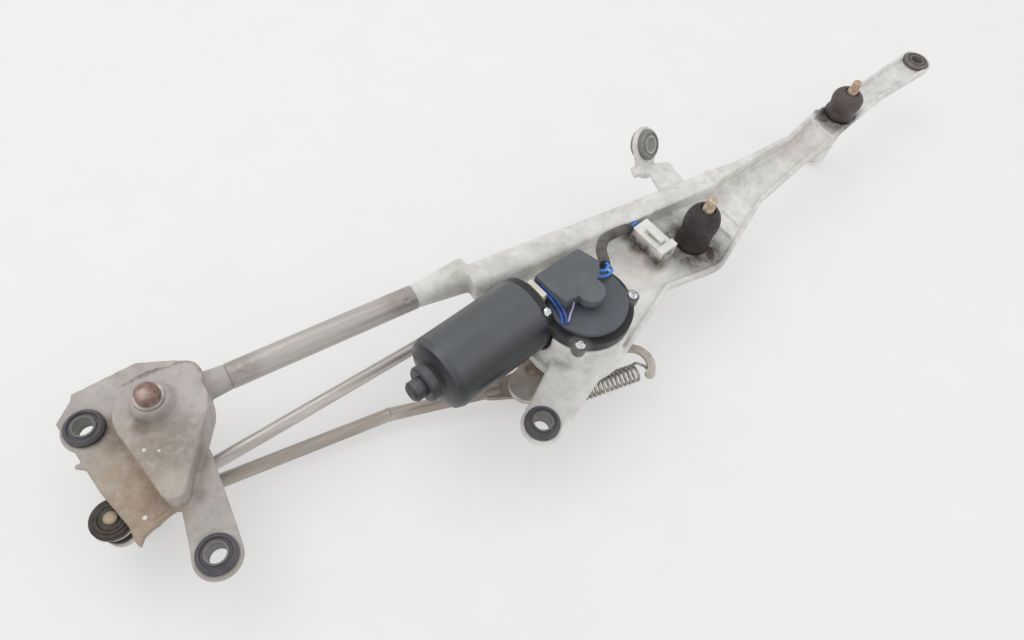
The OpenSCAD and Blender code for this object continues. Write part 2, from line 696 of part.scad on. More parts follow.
// Fasteners
module pan_screw(len, r, head_r, head_h) {
    translate([0, 0, -len]) cylinder(h = len, r = r);
    difference() {
        rotate_extrude() polygon([[0, 0], [head_r, 0], [head_r, head_h*0.55], [head_r*0.6, head_h], [0,
            head_h]]);
        for (a = [0, 90]) rotate([0, 0, a]) translate([-head_r*0.55, -0.5, head_h*0.45])
            cube([head_r*1.1, 1, head_h]);
    }
}
module cover_screws() color("#C9CBCC") in_place()
    for (a = cover_screw_angles) translate([each shaft_axis + cover_screw_r*heading(a), ring_top])
        pan_screw(16, screw_r, screw_head_r, screw_head_h);
module can_screws() color("#C9CBCC") in_place() at_can_screws()
    pan_screw(7, screw_r, can_head_r, screw_head_h);
module motor_bolts() color("#A7A9AA") in_place() for (a = motor_bolt_angles)
    translate([each shaft_axis + motor_bolt_r*heading(a), plate_z]) {
        translate([0, 0, -1.5]) cylinder(h = 1.5, r = bolt_washer_r);
        translate([0, 0, -6.5]) cylinder(h = 5, r = 5.5, $fn = 6);
        cylinder(h = 17, r = bolt_r);
    }

// Leads from the terminal cap to the brushes and, through the sleeve, to the connector
connector_at = [414, -39];
connector_turn = 9;
lead_routes = [
    [[272.7, -57.2, 125], [272.4, -61.5, 125.5], [275.5, -72, 123.5], [276.2, -84, 121], [273, -93.2, 119.4]],
    [[287.5, -82.1, 124], [285, -85, 123.3], [281, -88.3, 121.3], [276.5, -92.6, 119.4]],
    [[319.3, -68.1, 125], [325, -70, 125], [331, -67, 122], [335.3, -62, 117], [336.4, -59.1, 113.3]],
    [[317.6, -70.7, 122.5], [324, -73, 122], [332, -70.8, 120], [336.8, -65, 115], [336.2, -60, 110.5]],
    [[398.2, -22.3, 81.4], [403, -20.6, 81.5], [408, -19.2, 80], [410.5, -20, 78], [411, -21, 77.2]]];
sleeve_route = [[336.3, -59.2, 111.5], [340, -53.5, 109.5], [346, -43, 106], [357, -33, 101], [372, -27,
    93], [388, -23.5, 86], [398, -22.3, 81.5]];
module blue_leads() color("#2E5FB8") in_place() for (r = lead_routes) swept(smooth(r, 4), lead_d/2, 8);
module lead_sleeve() color("#3A3632") in_place() swept(smooth(sleeve_route, 4), sleeve_d/2, 12);

// Connector shell lying on the right casting, with its latch
module connector_frame() { translate([connector_at.x, connector_at.y, plate_top]) rotate([0, 0,
    connector_turn]) children(); }
module connector_shell() color("#D9D8D2") in_place() connector_frame() difference() {
    union() {
        translate([-connector_w/2, -connector_len/2, 0]) cube([connector_w, connector_len, connector_h]);
        translate([-connector_w/2 - 1.2, -connector_len/2, 0]) cube([connector_w + 2.4, 7,
            connector_h + 1.2]);
    }
    translate([-connector_w/2 + 2, -connector_len/2 - 1, 2]) cube([connector_w - 4, connector_len - 8,
        connector_h - 4]);
}
module connector_clip() color("#CFCDC6") in_place() connector_frame()
    translate([0, -4, connector_h]) rotate([90, 0, 90]) translate([0, 0, -3]) linear_extrude(6)
        polygon([[-6, 0], [-2, 0], [-2, 1.6], [8, 1.8], [9, 0], [13, 0], [12, 4], [-5, 3.4]]);

// Rubber boots over the right and idle spindles
boot_wall = 3.5;
module boot(p, top) {
    base = plate_top + boss_rise;
    skirt = boss_r + 0.4;
    stem = spindle_d/2 + 0.4;
    rise = top - base;
    translate([p.x, p.y, base]) rotate_extrude() polygon([
        [skirt, -boss_rise + 0.3], [skirt + boot_wall, -boss_rise + 0.3], [skirt + boot_wall, -2],
            [skirt + 1, 1],
        [skirt + 1.5, rise*0.3], [skirt + 2.1, rise*0.5], [skirt + 1.7, rise*0.66], [skirt + 0.2, rise*0.79],
        [skirt - 2.4, rise*0.9], [stem + 2.2, rise*0.97], [stem + 1.4, rise], [stem, rise], [stem, rise*0.88],
        [skirt - 4, rise*0.76], [skirt - 1.2, rise*0.55], [skirt - 0.8, 0.6], [skirt, 0]]);
}
module right_boot() color("#232220") in_place() boot(right_axis, right_shoulder_z + 4);
module idle_boot() color("#232220") in_place() boot(idle_axis, idle_shoulder_z + 4);

// Spindles: a shaft, a knurled taper and a threaded tip
module spindle(p, foot, shoulder) {
    taper = 8;
    translate([p.x, p.y, 0]) rotate_extrude() polygon([[0, foot], [spindle_d/2, foot], [spindle_d/2,
        shoulder],
        [tip_d/2 + 0.8, shoulder + taper], [tip_d/2, shoulder + taper], [tip_d/2,
            shoulder + taper + tip_len - 1],
        [tip_d/2 - 1, shoulder + taper + tip_len], [0, shoulder + taper + tip_len]]);
}
// The left spindle ends in a domed head above its clip
clip_t = 1.6;
head_r = 8.2;
head_side = 5;
dome_h = 5;
module domed_spindle(foot, seat) {
    rotate_extrude() polygon(concat([[0, foot], [spindle_d/2, foot], [spindle_d/2, seat], [head_r, seat]],
        [for (a = [0:10:80]) [head_r*cos(a), seat + head_side + dome_h*sin(a)]], [[0,
            seat + head_side + dome_h]]));
}
module clip_ring(p, z) {
    translate([p.x, p.y, z]) difference() {
        cylinder(h = clip_t, r = spindle_d/2 + 4);
        translate([0, 0, -1]) cylinder(h = 4, r = spindle_d/2 + press_gap);
    }
}
module thrust_washer(p) {
    translate([p.x, p.y, lever_top]) difference() {
        cylinder(h = boss_foot_z - lever_top - open_gap, r = bush_r + 2);
        translate([0, 0, -1]) cylinder(h = 10, r = spindle_d/2 + press_gap);
    }
}
module left_spindle() color("#8A5B3C") in_place() domed_spindle(lever_z - 1,
    left_boss_top + open_gap + clip_t);
module right_spindle() color("#9A7B45") in_place() spindle(right_axis, lever_z - 1, right_shoulder_z);
module idle_spindle() color("#9A7B45") in_place() spindle(idle_axis, 0, idle_shoulder_z);
module left_clip() color("#C4C5C4") in_place() clip_ring(left_axis, left_boss_top + open_gap);
module left_washer() color("#B9B8B4") in_place() thrust_washer(left_axis);
module right_clip() color("#C4C5C4") in_place() clip_ring(right_axis, plate_top + boss_rise + open_gap);
module right_washer() color("#B9B8B4") in_place() thrust_washer(right_axis);
module idle_clip() color("#C4C5C4") in_place() {
    clip_ring(idle_axis, plate_top + boss_rise + open_gap);
    clip_ring(idle_axis, idle_foot_z - open_gap - clip_t);
}

// Levers with their ball studs
hub_r = spindle_d/2 + 8;
module lever(p, tip, holes) {
    difference() {
        bar(p, hub_r, tip, rivet_r + 4, lever_z, lever_t);
        post(p, lever_z - 1, lever_t + 2, spindle_d/2 + press_gap);
        for (h = holes) post(h, lever_z - 1, lever_t + 2, shank_r + press_gap);
    }
}
module left_lever_arm() color("#7D7872") in_place() lever(left_axis, long_stud, [drive_stud, long_stud]);
module right_lever_arm() color("#7D7872") in_place() lever(right_axis, right_stud, [right_stud]);
module rivet_shank(t) {
    rotate_extrude() polygon([[0, 0], [shank_r, 0], [shank_r, -t], [rivet_r, -t], [rivet_r, -t - rivet_h*0.5],
        [rivet_r*0.6, -t - rivet_h], [0, -t - rivet_h]]);
}
module ball_and_neck() {
    cylinder(h = collar_h, r = collar_r);
    cylinder(h = ball_rise, r = neck_r);
    translate([0, 0, ball_rise]) sphere(ball_r);
}
module left_link_stud() color("#9B9A96") in_place() translate([each long_stud, lever_top]) {
    ball_and_neck();
    rivet_shank(lever_t);
}
module left_drive_stud() color("#9B9A96") in_place() translate([each drive_stud, lever_z]) mirror([0, 0, 1]) {
    ball_and_neck();
    rivet_shank(lever_t);
}
module right_lever_rivet() color("#9B9A96") in_place() translate([each right_stud, lever_top])
    rivet_shank(lever_t);
module right_ball_stud() color("#9B9A96") in_place() translate([each right_stud, lever_top]) intersection() {
    ball_and_neck();
    translate([-20, -20, open_gap]) cube(40);
}
module crank_ball_stud() color("#9B9A96") in_place() translate([each crank_stud, lever_z]) mirror([0, 0,
    1]) ball_and_neck();

// Socket of a ball joint; its mouth looks down and its ribbed back up
module socket() {
    rib = 0.8;
    difference() {
        rotate_extrude() polygon([[0, -socket_mouth], [socket_r, -socket_mouth], [socket_r,
            eye_t/2 + press_gap],
            [joint_cap_r, eye_t/2 + press_gap], [joint_cap_r, socket_back - 3.2], [joint_cap_r - 1.5,
                socket_back - 2],
            [joint_cap_r - 3, socket_back - 2], [joint_cap_r - 4, socket_back - 1], [joint_cap_r - 5.5,
                socket_back - 1],
            [joint_cap_r - 6.5, socket_back - 1 - rib], [5.5, socket_back - 1 - rib], [4.5, socket_back],
                [0, socket_back]]);
        sphere(ball_r + running_gap);
        translate([0, 0, -socket_mouth - 1]) cylinder(h = socket_mouth + 1, r = neck_r + 1.3);
    }
}
module dust_cover() {
    top = ball_rise - open_gap;
    inner = collar_r + 0.5;
    rotate_extrude() polygon([[inner, socket_mouth + 0.1], [inner + 2.2, socket_mouth + 0.1],
        [inner + 3.4, socket_mouth + 1.2],
        [inner + 2, socket_mouth + 2.3], [inner + 3, socket_mouth + 3.4], [inner + 1.6,
            socket_mouth + 4.5], [inner + 1.8, top], [inner, top]]);
}
module rod_eye(p, q, z, r) {
    run = (q - p)/norm(q - p);
    slab(z - eye_t/2, eye_t) link2d(p, eye_r, p + 34*run, r);
}
module straight_tube(p, q, z, r) {
    run = q - p;
    translate([p.x, p.y, z]) rotate([0, 90, atan2(run.y, run.x)]) cylinder(h = norm(run), r = r);
}
// Length of each flattened rod end
rod_end = 26;
module long_rod_tube() color("#8E8983") in_place() {
    run = (right_stud - long_stud)/norm(right_stud - long_stud);
    difference() {
        union() {
            straight_tube(long_stud + rod_end*run, right_stud - rod_end*run, long_ball_z, long_rod_d/2);
            rod_eye(long_stud, right_stud, long_ball_z, long_rod_d/2 + 1.5);
            rod_eye(right_stud, long_stud, long_ball_z, long_rod_d/2 + 1.5);
        }
        for (p = [long_stud, right_stud]) post(p, long_ball_z - eye_t, 2*eye_t, socket_r + press_gap);
    }
}
module long_rod_sockets() color("#4A3B30") in_place()
    for (p = [long_stud, right_stud]) translate([p.x, p.y, long_ball_z]) socket();
module long_rod_dust_covers() color("#2B2724") in_place()
    for (p = [long_stud, right_stud]) translate([p.x, p.y, long_ball_z]) mirror([0, 0, 1]) dust_cover();

// Drive rod: a round tube with one bend, and a flattened eye at each end
drive_bend = drive_stud + [188, -16.5];
module drive_rod_tube() color("#7C6F62") in_place() difference() {
    near = (drive_bend - drive_stud)/norm(drive_bend - drive_stud);
    far = (crank_stud - drive_bend)/norm(crank_stud - drive_bend);
    union() {
        straight_tube(drive_stud + rod_end*near, drive_bend - 0.6*near, drive_ball_z, drive_rod_d/2);
        translate([each drive_bend, drive_ball_z]) sphere(drive_rod_d/2 + 0.3);
        straight_tube(drive_bend + 0.6*far, crank_stud - rod_end*far, drive_ball_z, drive_rod_d/2);
        rod_eye(drive_stud, drive_bend, drive_ball_z, drive_rod_d/2 + 1.5);
        rod_eye(crank_stud, drive_bend, drive_ball_z, drive_rod_d/2 + 1.5);
    }
    for (p = [drive_stud, crank_stud]) post(p, drive_ball_z - eye_t, 2*eye_t, socket_r + press_gap);
}
socket_foot_r = 7;
module drive_rod_sockets() color("#4A3B30") in_place()
    for (p = [drive_stud, crank_stud]) translate([p.x, p.y, drive_ball_z]) {
        mirror([0, 0, 1]) socket();
        translate([0, 0, -drive_ball_z]) cylinder(h = drive_ball_z - socket_back + 1.5, r = socket_foot_r);
    }
module drive_rod_dust_covers() color("#2B2724") in_place()
    for (p = [drive_stud, crank_stud]) translate([p.x, p.y, drive_ball_z]) dust_cover();

// Output shaft with the worm wheel on top and the crank below
nut_h = 6;
module output_shaft() color("#8F9092") in_place()
    post(shaft_axis, crank_z - nut_h - 1, motor_z + wheel_h/2 + 1.5 - crank_z + nut_h + 1, output_d/2);
wheel_gap = 0.3;
worm_root_r = 3.6;
wheel_r = worm_offset - worm_root_r - wheel_gap;
tooth_h = 2.2;
module worm_wheel() color("#D8D2C0") in_place() translate([each shaft_axis, motor_z - wheel_h/2])
    difference() {
    union() {
        cylinder(h = wheel_h, r = wheel_r - tooth_h);
        pitch = 360/wheel_teeth;
        linear_extrude(wheel_h) for (k = [0:wheel_teeth - 1]) rotate(k*pitch)
            polygon([[wheel_r - tooth_h - 1, -0.95], [wheel_r - tooth_h - 1, 0.95], [wheel_r, 0.45],
                [wheel_r, -0.45]]);
    }
    translate([0, 0, -1]) cylinder(h = wheel_h + 2, r = output_d/2 + press_gap);
}
// Broad end of the crank beside its pin
crank_lobe = shaft_axis + [-48, -11];
crank_lobe_r = 15.5;
module crank_arm() color("#8A857D") in_place() difference() {
    union() {
        bar(shaft_axis, output_d/2 + 9, crank_stud, rivet_r + 5, crank_z, crank_t);
        bar(shaft_axis, output_d/2 + 9, spring_ear, 7, crank_z, crank_t);
        bar(shaft_axis, output_d/2 + 9, crank_lobe, crank_lobe_r, crank_z, crank_t);
        hook_post(spring_ear);
    }
    post(shaft_axis, crank_z - 1, crank_t + 2, output_d/2 + press_gap);
    post(crank_stud, crank_z - 1, crank_t + 2, shank_r + press_gap);
}
module crank_pin() color("#B5AFA3") in_place() translate([each crank_stud, crank_z]) {
    translate([0, 0, lever_z + open_gap - crank_z]) cylinder(h = crank_z - lever_z - open_gap, r = collar_r);
    mirror([0, 0, 1]) rivet_shank(crank_t);
}
module crank_nut() color("#9A9A98") in_place() translate([each shaft_axis, crank_z - nut_h]) difference() {
    cylinder(h = nut_h, r = 10.5, $fn = 6);
    translate([0, 0, -1]) cylinder(h = nut_h + 2, r = output_d/2 + press_gap);
}

// Curved hook arm under the crank, and the spring from the crank's ear to its end
post_r = 2.2;
hook_t = 3;
hook_w = 7;
hook_bend_r = 16;
hook_centre = shaft_axis + [43.5, -36];
hook_end = hook_centre + hook_bend_r*heading(-60);
spring_end = hook_centre + hook_bend_r*heading(-30);
spring_z = crank_z - hook_t - spring_wire/2 - 0.2;
module hook_post(p) { post(p, spring_z - 3, crank_z - spring_z + 2.5, post_r); }
hook_line = concat([shaft_axis + 11.5*heading(-25)], [for (a = [70:-10:-60])
    hook_centre + hook_bend_r*heading(a)]);
function hook_edge(i, side) =
    let (d = sweep_dir(hook_line, i), half = i == 0 ? hook_w : hook_w/2) hook_line[i] + side*half*[-d.y, d.x];
module spring_hook() color("#A19C92") in_place() {
    last = len(hook_line) - 1;
    slab(crank_z - hook_t, hook_t)
        polygon(concat([for (i = [0:last]) hook_edge(i, -1)], [for (i = [last:-1:0]) hook_edge(i, 1)]));
    post(hook_end, crank_z - hook_t, hook_t, hook_w/2 + 0.8);
    hook_post(spring_end);
}
module crank_spring() color("#9E9C97") in_place() {
    run = spring_end - spring_ear;
    span = norm(run);
    loop_r = post_r + 0.2 + spring_wire/2;
    coil_r = spring_d/2 - spring_wire/2;
    first = span*0.22;
    last = span*0.86;
    steps = 10*spring_turns;
    loop_steps = 9;
    near_loop = [for (i = [0:loop_steps - 1]) loop_r*[each heading(60 + 300*i/loop_steps), 0]];
    near_lead = [[loop_r, 0, 0], [loop_r + 1.6, 2.6, -0.8], [first - 2, coil_r - 0.6, -3.2]];
    coil = [for (i = [0:steps]) let (a = 360*spring_turns*i/steps, x = first + (last - first)*i/steps)
        [x, coil_r*cos(a), coil_r*sin(a)]];
    far_lead = [[last + 2, coil_r - 0.6, 3.2], [span - loop_r - 1.6, 2.6, 0.8], [span - loop_r, 0, 0]];
    far_loop = [for (i = [1:loop_steps]) [span, 0, 0] + loop_r*[each heading(180 + 300*i/loop_steps), 0]];
    translate([each spring_ear, spring_z]) rotate([0, 0, atan2(run.y, run.x)])
        swept(concat(near_loop, near_lead, coil, far_lead, far_loop), spring_wire/2, 6);
}

// Armature on its worm shaft
commutator_r = 11;
module armature_core() color("#6E4A33") in_place() motor_frame() difference() {
    along_x(can_front + can_wall + 8, can_len - 32, can_r - can_wall - 7);
    along_x(can_front, can_len, motor_shaft_r + press_gap);
}
module commutator() color("#A8683F") in_place() motor_frame() difference() {
    along_x(-can_offset - 14, 10, commutator_r);
    along_x(can_front, can_len, motor_shaft_r + press_gap);
}
module worm_shaft() color("#9EA0A2") in_place() motor_frame() {
    along_x(can_front - nose_len + 5, nose_len + can_len + can_offset - 25, motor_shaft_r);
    along_x(-20.5, 20.5 + tunnel_len - 5, worm_root_r);
}

left_bracket();
right_casting();
frame_tube();
mount_grommets();
spindle_bushes();
motor_can();
motor_magnets();
brush_card();
gear_housing();
gear_cover();
terminal_cap();
brush_plug();
cover_screws();
can_screws();
motor_bolts();
blue_leads();
lead_sleeve();
connector_shell();
connector_clip();
right_boot();
idle_boot();
left_spindle();
left_lever_arm();
left_drive_stud();
left_link_stud();
left_clip();
long_rod_tube();
long_rod_sockets();
long_rod_dust_covers();
right_ball_stud();
drive_rod_tube();
drive_rod_sockets();
drive_rod_dust_covers();
crank_ball_stud();
right_spindle();
right_lever_arm();
right_lever_rivet();
right_clip();
idle_spindle();
idle_clip();
output_shaft();
worm_wheel();
crank_arm();
crank_pin();
crank_nut();
spring_hook();
crank_spring();
armature_core();
commutator();
worm_shaft();
left_washer();
right_washer();
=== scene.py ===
# %% [markdown]
# # A car's wiper linkage, dressed for its portrait
# Two die-cast brackets, a steel tube, a geared motor, and the rods and levers that swing the wipers.
# The CAD model already has every piece in its place, in metres. This lesson gives each one its real
# surface, and remakes the few pieces that look wrong as plain solids: the rounded castings, the coiled
# spring, the rubber boots, the soft leads and the threads.

import math

import bmesh
import bpy
from mathutils import Matrix, Vector


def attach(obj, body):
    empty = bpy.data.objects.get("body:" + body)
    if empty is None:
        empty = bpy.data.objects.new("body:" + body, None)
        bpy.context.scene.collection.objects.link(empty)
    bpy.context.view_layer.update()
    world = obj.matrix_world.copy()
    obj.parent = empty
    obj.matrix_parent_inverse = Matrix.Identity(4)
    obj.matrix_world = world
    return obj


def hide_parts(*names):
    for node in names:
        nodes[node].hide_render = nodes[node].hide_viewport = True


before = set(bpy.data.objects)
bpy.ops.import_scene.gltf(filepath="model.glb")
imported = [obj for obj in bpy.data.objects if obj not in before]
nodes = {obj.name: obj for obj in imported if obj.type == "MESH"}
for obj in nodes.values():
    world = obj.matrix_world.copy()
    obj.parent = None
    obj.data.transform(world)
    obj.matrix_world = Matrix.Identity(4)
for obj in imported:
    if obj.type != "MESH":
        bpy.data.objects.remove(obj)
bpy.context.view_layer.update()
scene = bpy.context.scene

# %% [markdown]
# ## Where things are
# The layout was drawn from the left wiper spindle, in millimetres. The finished part is centred over the
# floor, so one small function moves a layout point to the part's own frame, in metres. Every route and
# every stain below goes through it, which keeps the numbers easy to compare with a drawing.

# %% Layout points
LAYOUT_CENTRE = (403.171, -44.037)


def at(x, y, z):
    return Vector(((x - LAYOUT_CENTRE[0]) / 1000, (y - LAYOUT_CENTRE[1]) / 1000, z / 1000))


def heading(degrees):
    return Vector((math.cos(math.radians(degrees)), math.sin(math.radians(degrees)), 0))


MOTOR_SHAFT = (302, -82)
RIGHT_SPINDLE = (452, -52)
IDLE_SPINDLE = (707, 9)
print("motor shaft at", [round(c, 4) for c in at(*MOTOR_SHAFT, 0)])

# %% [markdown]
# ## The camera
# The view was solved from the photograph: the parallel rods and the round rubber grommets give the
# direction, and their sizes give the distance. A camera's own axes are right, up and backwards, so its
# matrix is built straight from those three directions. The photograph is a plain picture without a film
# curve, so the view transform is the standard one, and a colour keeps the value that it is given.

# %% Camera
EYE = Vector((-0.3665, -0.2453, 0.5827))
SIGHT_RIGHT = Vector((0.8413, -0.5263, 0.1229)).normalized()
SIGHT_FORWARD = Vector((0.3698, 0.3947, -0.8411)).normalized()
SIGHT_UP = SIGHT_RIGHT.cross(SIGHT_FORWARD)
camera = bpy.data.objects.new("photo_view", bpy.data.cameras.new("photo_view"))
scene.collection.objects.link(camera)
camera.data.sensor_width = 36.0
camera.data.lens = 26.72
camera.data.clip_start = 0.01
columns = Matrix((SIGHT_RIGHT, SIGHT_UP, -SIGHT_FORWARD)).transposed()
camera.matrix_world = Matrix.Translation(EYE) @ columns.to_4x4()
scene.camera = camera
scene.view_settings.view_transform = "Standard"
print("camera", round(EYE.length, 3), "m from the part's centre")

# %% [markdown]
# ## Colour and a small tool for nodes
# Colours are read as hex values, which are sRGB, and a shader wants linear light, so one function
# converts them. Patterns are sized in millimetres: a noise of scale 1000 / size has features of about
# that size. One function adds any node with its settings and links. Every finish here is worn in the same
# ways, so one function builds them all: a Bevel node softens hard edges for the light, and where its normal
# turns away from the true one there is an edge, which is where paint and oxide rub off. Faces that look up
# get a paler colour, dust with a painted sheen, and where an Ambient Occlusion node finds little open air
# the colour darkens with grime and painted shade.

# %% Helpers for finishes


def linear(hex_colour):
    parts = [int(hex_colour[i:i + 2], 16) / 255 for i in (1, 3, 5)]
    return tuple(p / 12.92 if p <= 0.04045 else ((p + 0.055) / 1.055) ** 2.4 for p in parts) + (1.0,)


def per_metre(size_mm):
    return 1000.0 / size_mm


def add(tree, kind, inputs=None, **settings):
    made = tree.nodes.new(kind)
    for name, value in settings.items():
        setattr(made, name, value)
    for key, value in (inputs or {}).items():
        if isinstance(value, bpy.types.NodeSocket):
            tree.links.new(value, made.inputs[key])
        else:
            made.inputs[key].default_value = value
    return made


# A Mix node's colour sockets share their names with its other kinds, so they are found by number
MIX_A, MIX_B, MIX_COLOUR = 6, 7, 2
GRIME_AND_SHADE_REACH_MM = 12
SPECKLE_MM = 7
STAIN_CORE = 0.3


def surface(name, dark, light, patch_mm, rough, metallic=0.0, grain_mm=1.0, grain_depth_mm=0.03,
            stretch=(1, 1, 1), stains_and_painted_light=(), crevice_grime_and_shade=None, grime_and_shade=0.8, worn=None, edge_mm=0.5, dust_and_sheen=None,
            flecks=None):
    """Two tones in patches, then stained spots, flecks, a pale dusting and painted sheen on upward faces,
    grimy corners with painted shade, worn edges and a grain in relief.
    """
    material = bpy.data.materials.new(name)
    material.use_nodes = True
    tree = material.node_tree
    shader = tree.nodes["Principled BSDF"]
    place = add(tree, "ShaderNodeTexCoord").outputs["Object"]
    laid = add(tree, "ShaderNodeMapping", {"Vector": place, "Scale": stretch}).outputs[0]
    patches = add(tree, "ShaderNodeTexNoise", {
        "Vector": laid, "Scale": per_metre(patch_mm), "Detail": 7.0, "Roughness": 0.62}).outputs[0]
    share = add(tree, "ShaderNodeMapRange", {0: patches, 1: 0.36, 2: 0.66}).outputs[0]
    colour = add(tree, "ShaderNodeMix", {0: share, MIX_A: linear(dark), MIX_B: linear(light)},
                 data_type="RGBA").outputs[MIX_COLOUR]
    speckle = add(tree, "ShaderNodeTexNoise", {
        "Vector": place, "Scale": per_metre(SPECKLE_MM), "Detail": 5.0, "Roughness": 0.7}).outputs[0]
    broken = add(tree, "ShaderNodeMapRange", {0: speckle, 1: 0.3, 2: 0.6, 3: 0.45, 4: 1.0}).outputs[0]
    # Each sphere darkens or pales the colour round a point: dirt and wear, and also painted shadows, a
    # painted highlight and painted light in bores
    for centre, reach_mm, tint, strength in stains_and_painted_light:
        away = add(tree, "ShaderNodeVectorMath", {0: place, 1: centre}, operation="DISTANCE").outputs["Value"]
        near = add(tree, "ShaderNodeMapRange", {
            0: away, 1: STAIN_CORE * reach_mm / 1000, 2: reach_mm / 1000, 3: strength, 4: 0.0},
            interpolation_type="SMOOTHSTEP").outputs[0]
        amount = add(tree, "ShaderNodeMath", {0: near, 1: broken}, operation="MULTIPLY").outputs[0]
        colour = add(tree, "ShaderNodeMix", {0: amount, MIX_A: colour, MIX_B: linear(tint)},
                     data_type="RGBA").outputs[MIX_COLOUR]
    if flecks:
        pale, dull, size_mm = flecks
        spots = add(tree, "ShaderNodeTexNoise", {
            "Vector": place, "Scale": per_metre(size_mm), "Detail": 4.0, "Roughness": 0.6}).outputs[0]
        for tint, low, high in ((pale, 0.56, 0.68), (dull, 0.46, 0.36)):
            amount = add(tree, "ShaderNodeMapRange", {0: spots, 1: low, 2: high, 3: 0.0, 4: 0.22}).outputs[0]
            colour = add(tree, "ShaderNodeMix", {0: amount, MIX_A: colour, MIX_B: linear(tint)},
                         data_type="RGBA").outputs[MIX_COLOUR]
    # Faces that look up get a paler colour: settled dust, and a painted sheen
    if dust_and_sheen:
        outward = add(tree, "ShaderNodeTexCoord").outputs["Normal"]
        facing = add(tree, "ShaderNodeSeparateXYZ", {0: outward}).outputs["Z"]
        dust_and_sheen_share = add(tree, "ShaderNodeMapRange", {0: facing, 1: 0.5, 2: 1.0, 3: 0.0, 4: 0.36}).outputs[0]
        colour = add(tree, "ShaderNodeMix", {0: dust_and_sheen_share, MIX_A: colour, MIX_B: linear(dust_and_sheen)},
                     data_type="RGBA").outputs[MIX_COLOUR]
    # Where little open air reaches, the colour darkens: grime, and painted shade
    if crevice_grime_and_shade:
        open_air = add(tree, "ShaderNodeAmbientOcclusion", {"Distance": GRIME_AND_SHADE_REACH_MM / 1000},
                       samples=8).outputs["AO"]
        grime_and_shade_share = add(tree, "ShaderNodeMapRange", {0: open_air, 1: 0.35, 2: 0.85, 3: grime_and_shade, 4: 0.0}).outputs[0]
        grime_and_painted_shade = add(tree, "ShaderNodeMath", {0: grime_and_shade_share, 1: broken}, operation="MULTIPLY").outputs[0]
        colour = add(tree, "ShaderNodeMix", {0: grime_and_painted_shade, MIX_A: colour, MIX_B: linear(crevice_grime_and_shade)},
                     data_type="RGBA").outputs[MIX_COLOUR]
    eased = add(tree, "ShaderNodeBevel", {"Radius": edge_mm / 1000}, samples=6).outputs[0]
    if worn:
        true_normal = add(tree, "ShaderNodeNewGeometry").outputs["Normal"]
        flatness = add(tree, "ShaderNodeVectorMath", {0: eased, 1: true_normal},
                       operation="DOT_PRODUCT").outputs["Value"]
        rubbed = add(tree, "ShaderNodeMapRange", {0: flatness, 1: 0.99, 2: 0.86, 3: 0.0, 4: 0.75}).outputs[0]
        patchy = add(tree, "ShaderNodeMath", {0: rubbed, 1: broken}, operation="MULTIPLY").outputs[0]
        colour = add(tree, "ShaderNodeMix", {0: patchy, MIX_A: colour, MIX_B: linear(worn)},
                     data_type="RGBA").outputs[MIX_COLOUR]
    grain = add(tree, "ShaderNodeTexNoise", {
        "Vector": laid, "Scale": per_metre(grain_mm), "Detail": 3.0}).outputs[0]
    relief = add(tree, "ShaderNodeBump", {
        "Height": grain, "Strength": 0.8, "Distance": grain_depth_mm / 1000, "Normal": eased}).outputs[0]
    gloss = add(tree, "ShaderNodeMapRange", {0: speckle, 1: 0.3, 2: 0.7, 3: rough[0], 4: rough[1]}).outputs[0]
    tree.links.new(colour, shader.inputs["Base Color"])
    tree.links.new(gloss, shader.inputs["Roughness"])
    tree.links.new(relief, shader.inputs["Normal"])
    shader.inputs["Metallic"].default_value = metallic
    return material


# %% [markdown]
# ## The castings' finish
# Both brackets are die-cast aluminium that has lived under a windscreen: a pale grey skin, mottled by
# white oxide, with brown dirt where water dried and near-black round the rubber boots. Beside the connector
# and beside the pear's left edge a shadow is painted in dark brown. These marks lie in known places, so the
# stains are spheres round layout points, broken up by a fine noise. An ambient occlusion node finds the
# inside corners, where grime collects and a painted shade darkens them.

# %% Cast aluminium
LEFT_STAINS_AND_SHADE = (
    (at(-26, -34, 63), 56, "#A5947F", 0.85),
    (at(-34, -62, 63), 40, "#A08D77", 0.9),
    (at(-14, -56, 64), 24, "#937F6C", 0.8),
    # This one paints the pear's shadow, in brown, on the lower plate beside its left edge
    (at(-30, 4, 64), 20, "#75604F", 0.85),
    (at(-11, -12.5, 88), 9, "#5A4433", 0.95),
    (at(-6, -12, 89), 16, "#958A84", 0.5),
    (at(2, -36, 88), 38, "#8A8077", 0.8),
    (at(-7, -58, 88), 16, "#B6AB9E", 0.6),
    (at(-52, 32, 64), 30, "#A39F9B", 0.5),
    (at(3, -69.5, 72), 8, "#8E8681", 0.8),
    (at(-15.7, -29.6, 88), 1.9, "#F4F2EF", 1.0),
    (at(-7.7, -34.5, 88), 1.5, "#F4F2EF", 1.0),
    (at(-32.6, -63.8, 66), 2.2, "#F7F5F2", 1.0),
)
# A dark line is painted along the pear's back edge and round its back corner, where the plate drops away
PEAR_EDGE = tuple((at(-22 + 5 * i, 25.5, 87.5), 4.6, "#665A50", 0.8) for i in range(10))
CORNER_CENTRE, CORNER_R = (24, 11.5), 13
PEAR_CORNER = tuple((at(*CORNER_CENTRE, 87.5) + heading(75 - 25 * i) * CORNER_R / 1000, 4.4, "#766B62", 0.7)
                    for i in range(4))
